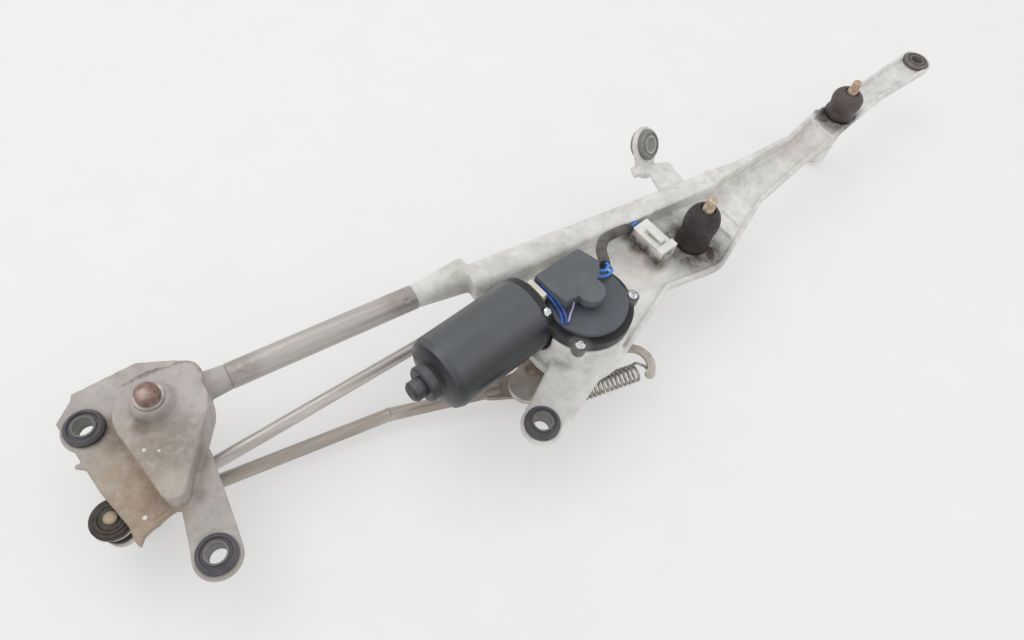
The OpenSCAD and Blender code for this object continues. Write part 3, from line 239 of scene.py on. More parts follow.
# Die-cast aluminium, dulled by oxide and brown with dried dirt: a soft grey sheen with no clear reflection
cast_left = surface("die_cast_aluminium_left", "#ACA5A1", "#BDB7B3", 24, (0.46, 0.66), metallic=0.2,
                    grain_mm=2.2, grain_depth_mm=0.05, stains_and_painted_light=LEFT_STAINS_AND_SHADE + PEAR_EDGE + PEAR_CORNER,
                    crevice_grime_and_shade="#6E5E50", grime_and_shade=0.6,
                    worn="#CFCBC7", edge_mm=1.4, flecks=("#C9C3BE", "#857A71", 8))
RIGHT_STAINS_AND_SHADE = (
    (at(451, -55, 67), 44, "#2F2826", 1.0),
    (at(448, -44, 67), 20, "#3A3230", 0.8),
    (at(459, -73, 67), 12, "#3F3532", 0.7),
    (at(700, 3, 67), 34, "#3B3432", 0.85),
    (at(692, 14, 68), 18, "#2A2423", 0.95),
    (at(722, 12, 67), 22, "#A39D97", 0.6),
    # The next three paint the connector's shadow, with grime, in dark brown on the casting beside it
    (at(402, -18, 66), 12, "#3A302B", 0.8),
    (at(404, -35, 66), 13, "#2C2421", 0.95),
    (at(407, -54, 66), 15, "#3A2C27", 0.9),
    (at(392, -50, 66), 24, "#C4B8AF", 0.6),
    (at(289, -107, 72), 16, "#8A6A5A", 0.7),
    (at(277, -100, 78), 14, "#5E5652", 0.8),
    (at(262, -40, 66), 28, "#B49C92", 0.7),
    (at(245, 6, 66), 30, "#B8B3AD", 0.5),
    (at(330, -26, 66), 26, "#8A847D", 0.75),
    (at(372, -74, 66), 30, "#E8E6E3", 0.5),
    (at(640, 0, 66), 46, "#CABFB8", 0.5),
)
# The same metal, washed paler on the open side: white oxide bloom over a grey skin
cast_right = surface("die_cast_aluminium_right", "#D2D0CD", "#EAE9E6", 18, (0.46, 0.66), metallic=0.1,
                     grain_mm=2.2, grain_depth_mm=0.05, stains_and_painted_light=RIGHT_STAINS_AND_SHADE, crevice_grime_and_shade="#8D837B", grime_and_shade=0.45,
                     worn="#F0EFEC", edge_mm=1.4, flecks=("#F6F5F3", "#A8A29B", 8))
print("castings' finishes:", cast_left.name, cast_right.name)

# %% [markdown]
# ## The castings' shape
# A die casting has no sharp edges: the metal flows round every corner. The CAD solid is crisp, so a copy
# of it is welded, rebuilt from small voxels and relaxed a little, which rounds all edges alike. Raised
# details that the mould left, such as ejector pads and short ridges, are dropped into the copy first, and
# the voxels melt them into the skin. Small voxels make many faces, so the skin is thinned at the end.

# %% Rounded castings


def place_block(mould, centre, size_mm, turn=0.0):
    spot = Matrix.Translation(centre) @ Matrix.Rotation(math.radians(turn), 4, "Z")
    scale = Matrix.Diagonal((size_mm[0] / 1000, size_mm[1] / 1000, size_mm[2] / 1000, 1))
    bmesh.ops.create_cube(mould, size=1.0, matrix=spot @ scale)


def place_ridge(mould, line, width_mm, height_mm):
    for a, b in zip(line, line[1:]):
        run = b - a
        turn = math.degrees(math.atan2(run.y, run.x))
        place_block(mould, (a + b) / 2, (run.length * 1000 + width_mm * 0.6, width_mm, height_mm), turn)


def place_pad(mould, centre, radius_mm, height_mm):
    radius = radius_mm / 1000
    bmesh.ops.create_cone(mould, cap_ends=True, segments=24, radius1=radius, radius2=radius,
                          depth=height_mm / 1000, matrix=Matrix.Translation(centre))


def plain_mesh(piece):
    """Bakes a piece's modifiers into a mesh of its own."""
    bpy.context.view_layer.update()
    graph = bpy.context.evaluated_depsgraph_get()
    baked = bpy.data.meshes.new_from_object(piece.evaluated_get(graph))
    piece.modifiers.clear()
    piece.data = baked
    return baked


def cast_skin(node, name, voxel_mm, relax, kept, ridges, pads, finish):
    mould = bmesh.new()
    mould.from_mesh(nodes[node].data)
    bmesh.ops.remove_doubles(mould, verts=mould.verts, dist=1e-6)
    for ridge in ridges:
        place_ridge(mould, *ridge)
    for pad in pads:
        place_pad(mould, *pad)
    mesh = bpy.data.meshes.new(name)
    mould.to_mesh(mesh)
    mould.free()
    mesh.materials.clear()
    mesh.materials.append(finish)
    piece = bpy.data.objects.new(name, mesh)
    scene.collection.objects.link(piece)
    melt = piece.modifiers.new("melt", "REMESH")
    melt.mode = "VOXEL"
    melt.voxel_size = voxel_mm / 1000
    melt.use_smooth_shade = True
    ease = piece.modifiers.new("ease", "SMOOTH")
    ease.factor = 0.5
    ease.iterations = relax
    thin = piece.modifiers.new("thin", "DECIMATE")
    thin.ratio = kept
    baked = plain_mesh(piece)
    baked.shade_smooth()
    baked.materials.clear()
    baked.materials.append(finish)
    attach(piece, "frame")
    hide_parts(node)
    print(name, len(baked.polygons), "faces")


# The first three are ejector pads; the last two square the back corners of the pear
LEFT_PADS = (
    (at(-15.7, -29.6, 88), 1.6, 1.6),
    (at(-7.7, -34.5, 88), 1.3, 1.6),
    (at(-32.6, -63.8, 65.5), 1.8, 1.8),
    (at(-12, 15, 75.9), 9.6, 24.2),
    (at(*CORNER_CENTRE, 75.9), CORNER_R, 24.2),
)
LEFT_RIDGES = (
    ([at(-53.5, -12, 63), at(-60, -7, 63)], 3.5, 3.5),
    ([at(-28, -70, 66), at(-15, -67, 66)], 2.0, 2.4),
)
cast_skin("left_bracket", "left_bracket_skin", 1.0, 6, 0.5, LEFT_RIDGES, LEFT_PADS, cast_left)
RIGHT_RIDGES = (
    ([at(460, -12, 66.5), at(464, -9, 66.5), at(472, -11.6, 66.5), at(479, -16, 66.5)], 2.2, 5),
    ([at(445, -16, 66.5), at(449, -12.8, 66.5), at(453, -13.4, 66.5), at(455.5, -20, 66.5)], 2.2, 5),
    ([at(502, -38, 66.5), at(504, -58, 66.5)], 2.2, 5),
    ([at(485.5, -48.5, 66.5), at(488, -65, 66.5)], 2.2, 5),
    ([at(461.5, -64, 66.5), at(460.6, -77, 66.5)], 2.2, 4),
    ([at(672, 14, 66.5), at(673, -12, 66.5)], 3.0, 5),
)
RIGHT_PADS = (
    (at(437.6, -46.8, 65.5), 3.4, 1.8),
    (at(531.2, -26.8, 65.5), 1.8, 1.6),
    (at(531.3, -42.4, 65.5), 2.6, 1.6),
    (at(548, -19, 65.5), 3.0, 1.4),
    (at(575, -24, 65.5), 3.0, 1.4),
)
cast_skin("right_casting", "right_casting_skin", 1.35, 5, 0.42, RIGHT_RIDGES, RIGHT_PADS, cast_right)

# %% [markdown]
# ## Steel, rubber, paint and plastic
# Each other node keeps its CAD shape and gets a finish. Drawn steel has fine lines along its length, so
# its noise is stretched. Rubber is dull and dusty, black paint on the motor can is satin with a cool
# sheen that is partly painted as a paler top, and moulded nylon has a faint grain. A metal keeps the default
# IOR.

# %% Finishes for the CAD nodes
# Drawn steel tube, dull zinc over steel: fine lines along it and a broad satin streak
tube_steel = surface("drawn_steel_tube", "#B1ACA8", "#CCC8C4", 9, (0.34, 0.5), metallic=0.35, grain_mm=0.5,
                     grain_depth_mm=0.01, stretch=(0.06, 1, 1), worn="#C4BFB8",
                     stains_and_painted_light=((at(60, 8, 76), 22, "#85786F", 0.55), (at(195, 8, 76), 26, "#877B72", 0.55)))
# Cold-drawn rod, handled and oiled: a narrow bright line along a grey bar
rod_steel = surface("drawn_rod_steel", "#ADA8A3", "#D0CBC6", 8, (0.26, 0.42), metallic=0.5, grain_mm=0.5,
                    grain_depth_mm=0.01, stretch=(0.06, 1, 1))
# The same rod under the motor, browned by road dirt
brown_rod = surface("drawn_rod_steel_browned", "#A0978F", "#BEB5AD", 8, (0.3, 0.48), metallic=0.4,
                    grain_mm=0.5, grain_depth_mm=0.01, stretch=(0.06, 1, 1),
                    stains_and_painted_light=((at(232, -92, 30), 70, "#857468", 0.7),))
# The three open bores are painted pale: painted light where the bright floor shows through them
OPEN_BORES = ((-47, 16, 63), (-2, -108, 59), (237, -134, 59))
BORE_PAINTED_LIGHT = tuple((at(*bore), 13, "#CFCDC9", 1.0) for bore in OPEN_BORES)
# Moulded rubber with a dusty bloom: no highlight, only a soft fall of light round the rim
grommet_rubber = surface("moulded_rubber", "#4A484D", "#605E63", 12, (0.6, 0.8), grain_mm=0.9,
                         grain_depth_mm=0.03, crevice_grime_and_shade="#222124", grime_and_shade=0.45,
                         # Dirt greys the end grommet's face and the same grey paints its hole light, a
                         # painted light over the hole's shade; the ear grommet's centre is painted
                         # near-white, painted light where the floor shows through
                         stains_and_painted_light=((at(857, 31, 68), 26, "#857C7A", 0.95),
                                                    (at(468, 49, 87), 26, "#A3A19D", 0.95),
                                                    (at(468, 49, 87), 15, "#DDDBD5", 1.0)) + BORE_PAINTED_LIGHT)
# Thin black rubber, greasy above and caked with dirt below: dull with a weak shine on the crown
boot_rubber = surface("dusty_rubber_boot", "#262122", "#413B3A", 8, (0.42, 0.75), grain_mm=1.4,
                      grain_depth_mm=0.08,
                      stains_and_painted_light=((at(452, -52, 72), 22, "#4A403A", 0.6), (at(707, 9, 84), 30, "#6C6160", 0.7)),
                      crevice_grime_and_shade="#141213")
# Satin black paint on a deep-drawn can: a wide cool sheen along the top, painted as pale grey on faces that
# look up together with dust, and a grey scuff on each edge
can_paint = surface("satin_black_paint", "#1F2226", "#2B2E33", 30, (0.27, 0.37), dust_and_sheen="#868A8E",
                    grain_mm=1.6, grain_depth_mm=0.012, worn="#55585C",
                    stains_and_painted_light=((at(262, -60, 100), 30, "#17181A", 0.5),))
# Black paint on a rough casting, greyed by dust on its lugs
housing_paint = surface("black_cast_paint", "#1B1B1D", "#2B2B2D", 14, (0.36, 0.55), grain_mm=1.6,
                        grain_depth_mm=0.05, worn="#6E6C6A",
                        stains_and_painted_light=((at(276.6, -110.2, 108), 12, "#8A8682", 0.85),
                                (at(338, -93, 108), 12, "#8A8682", 0.85)))
# Slate-coloured glass-filled nylon, moulded: an even matt grey with a bluish cast
cover_nylon = surface("slate_nylon", "#4C5157", "#5A5F66", 24, (0.42, 0.56), grain_mm=0.7,
                      grain_depth_mm=0.015, worn="#5C5F64")
# Lighter grey nylon of the terminal cap, a little faded
cap_nylon = surface("grey_nylon", "#5B5E62", "#686B70", 24, (0.44, 0.58), grain_mm=0.7, grain_depth_mm=0.015,
                    worn="#6B6D6F")
# Natural white nylon: bright, slightly see-through to the eye, yellowed with age
white_nylon = surface("white_nylon", "#D8D4C8", "#EAE8E0", 10, (0.4, 0.55), grain_mm=0.7, grain_depth_mm=0.01,
                      stains_and_painted_light=((at(264, -76, 113), 9, "#A8937F", 0.7), (at(268, -58, 124), 8, "#C2AFA2", 0.5)))
# The connector's white nylon, clean on top, with painted shade and grime in dark brown on the side that faces
# the motor
ivory_nylon = surface("ivory_nylon", "#E0DEDA", "#F1F0ED", 12, (0.4, 0.55), grain_mm=0.7, grain_depth_mm=0.01,
                      crevice_grime_and_shade="#5A504A", grime_and_shade=0.4, stains_and_painted_light=((at(404, -40, 68), 13, "#3A302B", 0.95),
                                                 (at(408, -56, 68), 12, "#4A3F39", 0.9),
                                                 (at(401, -27, 68), 11, "#3A302B", 0.9)))
# Bright zinc plate on small screws: sharp white glints
bright_zinc = surface("bright_zinc_plate", "#C6C8C9", "#EEEFF0", 3, (0.14, 0.26), metallic=1.0, grain_mm=0.5,
                      grain_depth_mm=0.01)
# Stamped sheet steel, grey with brown rust round the shafts
stamped_steel = surface("stamped_steel", "#B3ADA5", "#D2CCC4", 10, (0.36, 0.58), metallic=0.5, grain_mm=1.2,
                        grain_depth_mm=0.03, worn="#CFCAC3",
                        stains_and_painted_light=((at(272, -78, 42), 17, "#6E4634", 0.9),
                                (at(258, -86, 42), 16, "#CBBDAD", 0.6),
                                (at(345, -100, 36), 30, "#A39A8F", 0.4)))
# Turned steel studs and nuts with a film of old grease
stud_steel = surface("turned_steel", "#8F877C", "#BBB2A4", 4, (0.28, 0.5), metallic=0.65, grain_mm=0.6,
                     grain_depth_mm=0.02, stains_and_painted_light=((at(266, -82, 46), 14, "#A58A6C", 0.6),))
# Polished spring clips and washers: almost white rings under the spindle heads
clip_steel = surface("spring_clip_steel", "#ADA8A3", "#CBC6C1", 3, (0.34, 0.5), metallic=0.4, grain_mm=0.5,
                     grain_depth_mm=0.01)
# A rusted spindle head, pink-brown, with a painted highlight in pale pink on its crown
copper_rust = surface("rusted_spindle_steel", "#6B5248", "#A58A80", 5, (0.36, 0.55), metallic=0.35,
                      grain_mm=0.8, grain_depth_mm=0.04, stains_and_painted_light=((at(-3, -3, 112), 7, "#DCC8BF", 0.7),))
# Yellow-passivated steel of the other two spindles, pale at the tips
brass_rust = surface("yellowed_spindle_steel", "#AC9A82", "#E4D6C0", 4, (0.22, 0.44), metallic=0.6,
                     grain_mm=0.8, grain_depth_mm=0.03, stains_and_painted_light=((at(707, 9, 104), 12, "#B89484", 0.7),))
# Greasy brown nylon of the ball sockets, with one beige spot
socket_nylon = surface("greasy_brown_nylon", "#231B15", "#40352B", 6, (0.3, 0.6), grain_mm=1.0,
                       grain_depth_mm=0.06, crevice_grime_and_shade="#1B1510",
                       stains_and_painted_light=((at(-52.7, -49.1, 58), 7, "#C2AE92", 0.95),))
# Soft black rubber of the socket covers
cover_rubber = surface("ribbed_rubber", "#1E1915", "#352C25", 6, (0.5, 0.75), grain_mm=1.0,
                       grain_depth_mm=0.04)
# Sintered bronze, brown and porous
bush_bronze = surface("sintered_bronze", "#7A5A33", "#A67F4E", 4, (0.35, 0.5), metallic=0.9, grain_mm=0.6)
# Ground shaft steel: bright with a fine turned line
ground_steel = surface("ground_steel", "#8C8E90", "#B4B6B8", 4, (0.2, 0.32), metallic=1.0, grain_mm=0.4)
# Fired ferrite magnets: charcoal grey and chalky
ferrite = surface("sintered_ferrite", "#2B2B2D", "#3C3C3F", 5, (0.55, 0.7), grain_mm=0.7)
# Brown laminate card under the brushes
laminate = surface("laminated_card", "#513F2C", "#6B563E", 5, (0.5, 0.65), grain_mm=0.7)
# Natural nylon of the worm wheel: cream and waxy
raw_nylon = surface("natural_nylon", "#CFC8B6", "#E0DAC9", 8, (0.38, 0.5), grain_mm=0.7)
# Enamelled copper windings over the armature core: dark copper lines along it
windings = surface("wound_copper_core", "#5A3A26", "#8C5C3C", 3, (0.35, 0.55), metallic=0.6, grain_mm=1.0,
                   grain_depth_mm=0.15, stretch=(0.2, 1, 1))
# Turned copper commutator
copper = surface("turned_copper", "#8C5434", "#C07E54", 3, (0.25, 0.4), metallic=1.0, grain_mm=0.5)
# Bare spring wire: grey with thin bright lines, rusty at the crank end
spring_steel = surface("spring_wire_steel", "#8E8982", "#C6C1B8", 5, (0.24, 0.42), metallic=0.75,
                       grain_mm=0.5, grain_depth_mm=0.01, stains_and_painted_light=((at(268, -114, 32), 16, "#8A6A52", 0.6),))
# Extruded vinyl on the brush leads: dark blue with a sharp line of light
navy_pvc = surface("navy_wire_pvc", "#233F7E", "#3D68B4", 6, (0.22, 0.36), grain_mm=0.8, grain_depth_mm=0.01)
# The leads in the sleeve are newer and a brighter blue
blue_pvc = surface("blue_wire_pvc", "#2468C4", "#4A9AEE", 6, (0.22, 0.36), grain_mm=0.8, grain_depth_mm=0.01)
# The thin lilac lead
lilac_pvc = surface("lilac_wire_pvc", "#9C90C4", "#C4BCE0", 6, (0.3, 0.45), grain_mm=0.8, grain_depth_mm=0.01)
# Dark vinyl sleeve, dusty grey at the cap and near-black where it meets the connector
sleeve_pvc = surface("dark_sleeve_pvc", "#4A4745", "#66625E", 8, (0.38, 0.55), grain_mm=0.9,
                     grain_depth_mm=0.03,
                     stains_and_painted_light=((at(396, -23, 83), 13, "#1C1918", 0.95), (at(368, -29, 96), 12, "#3A3633", 0.6)))
FINISHES = {
    tube_steel: ["frame_tube"],
    rod_steel: ["long_rod_tube"],
    brown_rod: ["drive_rod_tube"],
    grommet_rubber: ["mount_grommets"],
    boot_rubber: ["right_boot", "idle_boot"],
    can_paint: ["motor_can"],
    housing_paint: ["gear_housing"],
    cover_nylon: ["gear_cover"],
    cap_nylon: ["terminal_cap"],
    white_nylon: ["brush_plug"],
    ivory_nylon: ["connector_shell", "connector_clip"],
    bright_zinc: ["cover_screws", "can_screws", "motor_bolts"],
    stamped_steel: ["left_lever_arm", "right_lever_arm", "crank_arm", "spring_hook"],
    stud_steel: ["left_drive_stud", "left_link_stud", "right_ball_stud", "crank_ball_stud",
                 "right_lever_rivet", "crank_pin", "crank_nut"],
    clip_steel: ["left_clip", "right_clip", "idle_clip", "left_washer", "right_washer"],
    copper_rust: ["left_spindle"],
    brass_rust: ["right_spindle", "idle_spindle"],
    socket_nylon: ["long_rod_sockets", "drive_rod_sockets"],
    cover_rubber: ["long_rod_dust_covers", "drive_rod_dust_covers"],
    bush_bronze: ["spindle_bushes"],
    ground_steel: ["output_shaft", "worm_shaft"],
    ferrite: ["motor_magnets"],
    laminate: ["brush_card"],
    raw_nylon: ["worm_wheel"],
    windings: ["armature_core"],
    copper: ["commutator"],
    spring_steel: ["crank_spring"],
    blue_pvc: ["blue_leads"],
    sleeve_pvc: ["lead_sleeve"],
    cast_left: ["left_bracket"],
    cast_right: ["right_casting"],
}
for finish, members in FINISHES.items():
    for member in members:
        slots = nodes[member].data.materials
        slots.clear()
        slots.append(finish)
print(sum(len(m) for m in FINISHES.values()), "nodes have a finish")

# %% [markdown]
# ## Wire that follows a path
# The spring, the motor leads, their sleeve and the spindle threads are all the same thing: a round
# section pushed along a line. A small Geometry Nodes tree does it once for all of them. Its inputs are
# the section's radius and its number of sides, and it ends by making the result a real mesh with its
# material, because an export keeps no instances.

# %% The wire tree
wire_tree = bpy.data.node_groups.new("wire_on_path", "GeometryNodeTree")
wire_inputs = {}
for title, kind in (("Path", "NodeSocketGeometry"), ("Wire radius", "NodeSocketFloat"),
                    ("Sides", "NodeSocketInt"), ("Finish", "NodeSocketMaterial")):
    socket = wire_tree.interface.new_socket(name=title, in_out="INPUT", socket_type=kind)
    wire_inputs[title] = socket.identifier
wire_tree.interface.new_socket(name="Wire", in_out="OUTPUT", socket_type="NodeSocketGeometry")
given = add(wire_tree, "NodeGroupInput").outputs
line = add(wire_tree, "GeometryNodeMeshToCurve", {"Mesh": given["Path"]}).outputs[0]
section = add(wire_tree, "GeometryNodeCurvePrimitiveCircle",
              {"Resolution": given["Sides"], "Radius": given["Wire radius"]}).outputs[0]
wall = add(wire_tree, "GeometryNodeCurveToMesh",
           {"Curve": line, "Profile Curve": section, "Fill Caps": True}).outputs[0]
real = add(wire_tree, "GeometryNodeRealizeInstances", {"Geometry": wall}).outputs[0]
painted = add(wire_tree, "GeometryNodeSetMaterial",
              {"Geometry": real, "Material": given["Finish"]}).outputs[0]
add(wire_tree, "NodeGroupOutput", {0: painted})


def wire(name, paths, radius_mm, sides, finish, body, stands_for=None):
    points = [tuple(p) for path in paths for p in path]
    edges, start = [], 0
    for path in paths:
        edges += [(start + i, start + i + 1) for i in range(len(path) - 1)]
        start += len(path)
    mesh = bpy.data.meshes.new(name)
    mesh.from_pydata(points, edges, [])
    piece = bpy.data.objects.new(name, mesh)
    scene.collection.objects.link(piece)
    modifier = piece.modifiers.new("wire", "NODES")
    modifier.node_group = wire_tree
    modifier[wire_inputs["Wire radius"]] = radius_mm / 1000
    modifier[wire_inputs["Sides"]] = sides
    modifier[wire_inputs["Finish"]] = finish
    baked = plain_mesh(piece)
    baked.shade_smooth()
    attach(piece, body)
    if stands_for:
        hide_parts(stands_for)
    print(name, len(baked.polygons), "faces")


def through(points, steps):
    """A smooth curve through given points."""
    made = []
    for i in range(len(points) - 1):
        a, b = points[max(i - 1, 0)], points[i]
        c, d = points[i + 1], points[min(i + 2, len(points) - 1)]
        for k in range(steps):
            u = k / steps
            made.append(0.5 * (2 * b + (c - a) * u + (2 * a - 5 * b + 4 * c - d) * u ** 2
                               + (3 * b - a - 3 * c + d) * u ** 3))
    return made + [points[-1]]


# %% [markdown]
# ## The crank spring
# An extension spring of bare wire, hooked at one end on the crank's ear and at the other on the curved
# strip. Each end is a loop in the flat, which leads into the coil. The line is worked out from the wire,
# the coil's width and the number of turns, as a spring winder would set it.

# %% Spring
SPRING_Z = 31.6
EAR_REACH, EAR_HEADING = 49, 219
HOOK_CENTRE, HOOK_REACH, HOOK_HEADING = (345.5, -118), 16, -30
SPRING_EAR = at(*MOTOR_SHAFT, SPRING_Z) + heading(EAR_HEADING) * EAR_REACH / 1000
SPRING_END = at(*HOOK_CENTRE, SPRING_Z) + heading(HOOK_HEADING) * HOOK_REACH / 1000
SPRING_WIRE, COIL_WIDTH, TURNS = 2.4, 16.5, 15
TURN_STEPS, LOOP_STEPS, LEAD_STEPS = 24, 18, 5
COIL_FROM, COIL_TO = 0.22, 0.86
PIN_BELOW, PIN_ABOVE = 3.2, 4.7
span = (SPRING_END - SPRING_EAR).length * 1000
along = (SPRING_END - SPRING_EAR).normalized()
across = Vector((-along.y, along.x, 0))
loop_r = 2.4 + SPRING_WIRE / 2
coil_r = (COIL_WIDTH - SPRING_WIRE) / 2
first, last = span * COIL_FROM, span * COIL_TO
loop_in = [Vector((0, 0, 0)) + loop_r * heading(60 + 300 * i / LOOP_STEPS) for i in range(LOOP_STEPS)]
lead_in = [Vector((loop_r, 0, 0)), Vector((loop_r + 1.6, 2.6, -0.8)), Vector((first - 2, coil_r - 0.6, -3.2)),
           Vector((first, coil_r, 0))]
coil = []
for i in range(1, TURN_STEPS * TURNS):
    turn = 2 * math.pi * i / TURN_STEPS
    reached = first + (last - first) * i / (TURN_STEPS * TURNS)
    coil.append(Vector((reached, coil_r * math.cos(turn), coil_r * math.sin(turn))))
lead_out = [Vector((last, coil_r, 0)), Vector((last + 2, coil_r - 0.6, 3.2)),
            Vector((span - loop_r - 1.6, 2.6, 0.8)), Vector((span - loop_r, 0, 0))]
loop_out = [Vector((span, 0, 0)) + loop_r * heading(180 + 300 * i / LOOP_STEPS)
            for i in range(1, LOOP_STEPS + 1)]
spring_line = loop_in + through(lead_in, LEAD_STEPS) + coil + through(lead_out, LEAD_STEPS) + loop_out
spring_path = [SPRING_EAR + (along * p.x + across * p.y + Vector((0, 0, p.z))) / 1000 for p in spring_line]
wire("crank_spring_coil", [spring_path], SPRING_WIRE / 2, 10, spring_steel, "crank",
     "crank_spring")
# The pin that the ear loop hangs on, riveted into the crank arm above it
pin_line = [SPRING_EAR - Vector((0, 0, PIN_BELOW / 1000)), SPRING_EAR + Vector((0, 0, PIN_ABOVE / 1000))]
wire("crank_spring_pin", [pin_line], 2.3, 20, stud_steel, "crank")

# %% [markdown]
# ## Rubber boots
# A boot is a soft bell that keeps water out of the spindle's bearing. Rubber has no corners and no true
# circle, so the bell's section is drawn as a smooth curve, turned round the spindle, and dented a little
# by slow waves. The waves fade at the skirt and the neck, where the boot grips metal.

# %% Boots
BOOT_FOOT, BOOT_SIDES, BOOT_RINGS = 73.5, 64, 5
# Each point has a radius, a height and a share of the boot's rise that is added to the height
OUTER_BELL = ((15.3, -7.7, 0), (15.6, -4.5, 0), (14.9, -1.2, 0), (14.3, 1.6, 0), (14.9, 0, 0.3),
              (15.7, 0, 0.5), (15.2, 0, 0.68), (13.4, 0, 0.82), (10.6, 0, 0.93),
              (8.3, 0, 0.985), (7.2, 0, 1.0))
INNER_BELL = ((6.45, -0.5, 1.0), (6.5, 0, 0.88), (9.4, 0, 0.76), (12.2, 0, 0.55), (12.6, 0.7, 0),
              (13.4, 0, 0), (13.4, -7.6, 0))
RIGHT_BOOT_TOP, IDLE_BOOT_TOP = 111, 96


def boot_skin(name, node, spindle, top):
    rise = top - BOOT_FOOT
    outside = through([Vector((r, 0, z + share * rise)) for r, z, share in OUTER_BELL], BOOT_RINGS)
    inside = [Vector((r, 0, z + share * rise)) for r, z, share in INNER_BELL]
    shell = bmesh.new()
    rings = []
    for number, point in enumerate(outside + inside):
        height = min(max(point.z / rise, 0.0), 1.0)
        soft = math.sin(math.pi * height) if number < len(outside) else 0.0
        ring = []
        for k in range(BOOT_SIDES):
            turn = 2 * math.pi * k / BOOT_SIDES
            wave = 1 + soft * (0.012 * math.sin(2 * turn + 1) + 0.008 * math.sin(5 * turn + 0.3 * point.z))
            radius = point.x * wave
            centre = at(*spindle, BOOT_FOOT + point.z)
            ring.append(shell.verts.new(centre + heading(math.degrees(turn)) * radius / 1000))
        rings.append(ring)
    for low, high in zip(rings, rings[1:] + rings[:1]):
        for k in range(BOOT_SIDES):
            after = (k + 1) % BOOT_SIDES
            shell.faces.new((low[k], low[after], high[after], high[k]))
    bmesh.ops.recalc_face_normals(shell, faces=shell.faces)
    mesh = bpy.data.meshes.new(name)
    shell.to_mesh(mesh)
    shell.free()
    mesh.materials.append(boot_rubber)
    mesh.shade_smooth()
    piece = bpy.data.objects.new(name, mesh)
    scene.collection.objects.link(piece)
    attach(piece, "frame")
    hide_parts(node)
    print(name, len(mesh.polygons), "faces")


boot_skin("right_boot_skin", "right_boot", RIGHT_SPINDLE, RIGHT_BOOT_TOP)
boot_skin("idle_boot_skin", "idle_boot", IDLE_SPINDLE, IDLE_BOOT_TOP)

# %% [markdown]
# ## Leads and their sleeve
# Thin insulated leads leave the terminal cap; two drop to the brushes and the others go through a dark
# sleeve to the connector. They are held at both ends, so they keep the routes of the CAD solids, with a
# finer section. The brush lead is a pair, and the one from the cap's lobe is thin and lilac.

# %% Leads
LEAD_ROUTES = (
    ((272.7, -57.2, 125), (272.4, -61.5, 125.5), (275.5, -72, 123.5), (276.2, -84, 121), (273, -93.2, 119.4)),
    ((287.5, -82.1, 124), (285, -85, 123.3), (281, -88.3, 121.3), (276.5, -92.6, 119.4)),
    ((319.3, -68.1, 125), (325, -70, 125), (331, -67, 122), (335.3, -62, 117), (336.4, -59.1, 113.3)),
    ((317.6, -70.7, 122.5), (324, -73, 122), (332, -70.8, 120), (336.8, -65, 115), (336.2, -60, 110.5)),
    ((398.2, -22.3, 81.4), (403, -20.6, 81.5), (408, -19.2, 80), (410.5, -20, 78), (411, -21, 77.2)),
)
SLEEVE_ROUTE = ((336.3, -59.2, 111.5), (340, -53.5, 109.5), (346, -43, 106), (357, -33, 101), (372, -27, 93),
                (388, -23.5, 86), (398, -22.3, 81.5))
lead_lines = [through([at(*p) for p in route], 8) for route in LEAD_ROUTES]
BESIDE = Vector((0.0014, -0.0006, 0.0003))
pair = [[p - BESIDE for p in lead_lines[0]], [p + BESIDE for p in lead_lines[0]]]
wire("brush_lead_wires", pair, 1.1, 12, navy_pvc, "frame")
wire("blue_lead_wires", lead_lines[2:], 1.2, 12, blue_pvc, "frame", "blue_leads")
wire("lilac_lead_wire", [lead_lines[1]], 0.8, 10, lilac_pvc, "frame")
sleeve_line = through([at(*p) for p in SLEEVE_ROUTE], 8)
wire("lead_sleeve_skin", [sleeve_line], 4.5, 24, sleeve_pvc, "frame", "lead_sleeve")

# %% [markdown]
# ## Threads on the wiper tips
# The two tall spindles end in a fine thread for the wiper arm's nut. The CAD tip is a plain cylinder, and
# a thread is a ridge that climbs round it, so the wire tree makes it from a helix with a thin section.

# %% Threads
THREAD_PITCH, TIP_R, THREAD_STEPS, THREAD_WIRE_R = 1.25, 4.0, 28, 0.34


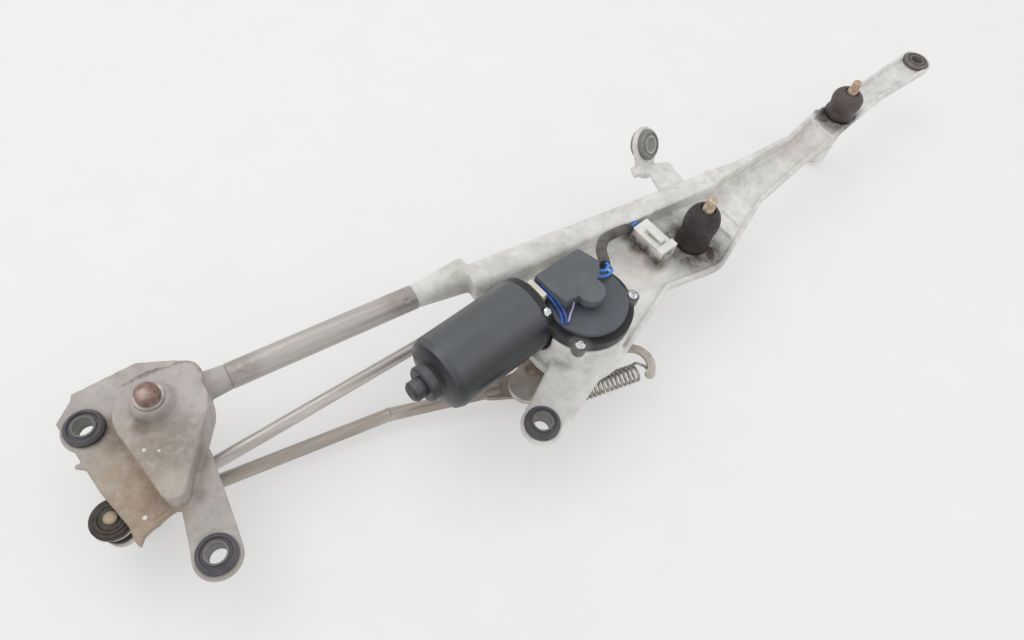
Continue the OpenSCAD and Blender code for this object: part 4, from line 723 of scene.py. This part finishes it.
def thread_line(x, y, low, high):
    count = int((high - low) / THREAD_PITCH * THREAD_STEPS)
    line_points = []
    for i in range(count + 1):
        turn = 2 * math.pi * i / THREAD_STEPS
        rise = low + (high - low) * i / count
        line_points.append(at(x + TIP_R * math.cos(turn), y + TIP_R * math.sin(turn), rise))
    return line_points


right_thread = thread_line(*RIGHT_SPINDLE, 115.6, 122.6)
wire("right_tip_thread", [right_thread], THREAD_WIRE_R, 6, brass_rust, "right_lever")
idle_thread = thread_line(*IDLE_SPINDLE, 100.6, 107.6)
wire("idle_tip_thread", [idle_thread], THREAD_WIRE_R, 6, brass_rust, "idle_shaft")

# %% [markdown]
# ## Floor and light
# The photograph has a plain off-white ground and soft light from all round, with only faint shadows. A
# large sheet that glows a little, like a light table, a bright even world and two wide lamps give that.

# %% Stage
floor_mesh = bpy.data.meshes.new("floor")
reach = 6.0
corners = [(-reach, -reach, 0), (reach, -reach, 0), (reach, reach, 0), (-reach, reach, 0)]
floor_mesh.from_pydata(corners, [], [(0, 1, 2, 3)])
floor = bpy.data.objects.new("floor", floor_mesh)
scene.collection.objects.link(floor)
floor.location.z = -0.0005
# Matt white sheet lit from below: an even off-white with only faint shadows
floor_paint = surface("pale_backdrop_paper", "#B1B1B1", "#B4B4B4", 60, (0.8, 0.9), grain_mm=3,
                      grain_depth_mm=0.01)
glow = floor_paint.node_tree.nodes["Principled BSDF"].inputs
glow["Emission Color"].default_value = linear("#F4F4F3")
glow["Emission Strength"].default_value = 0.46
floor_mesh.materials.append(floor_paint)
world = bpy.data.worlds.new("studio")
scene.world = world
world.use_nodes = True
world.node_tree.nodes["Background"].inputs["Color"].default_value = linear("#F6F6F5")
world.node_tree.nodes["Background"].inputs["Strength"].default_value = 0.84


def lamp(name, place, aim, size, power):
    light = bpy.data.lights.new(name, "AREA")
    light.shape = "DISK"
    light.size = size
    light.energy = power
    made = bpy.data.objects.new(name, light)
    scene.collection.objects.link(made)
    made.location = place
    made.rotation_euler = (Vector(aim) - Vector(place)).to_track_quat("-Z", "Y").to_euler()


lamp("key_softbox", (-0.5, 0.7, 1.5), (0, 0, 0.05), 1.4, 6)
lamp("fill_softbox", (0.9, -0.9, 1.3), (0, 0, 0.05), 1.2, 2.5)
print("stage set")
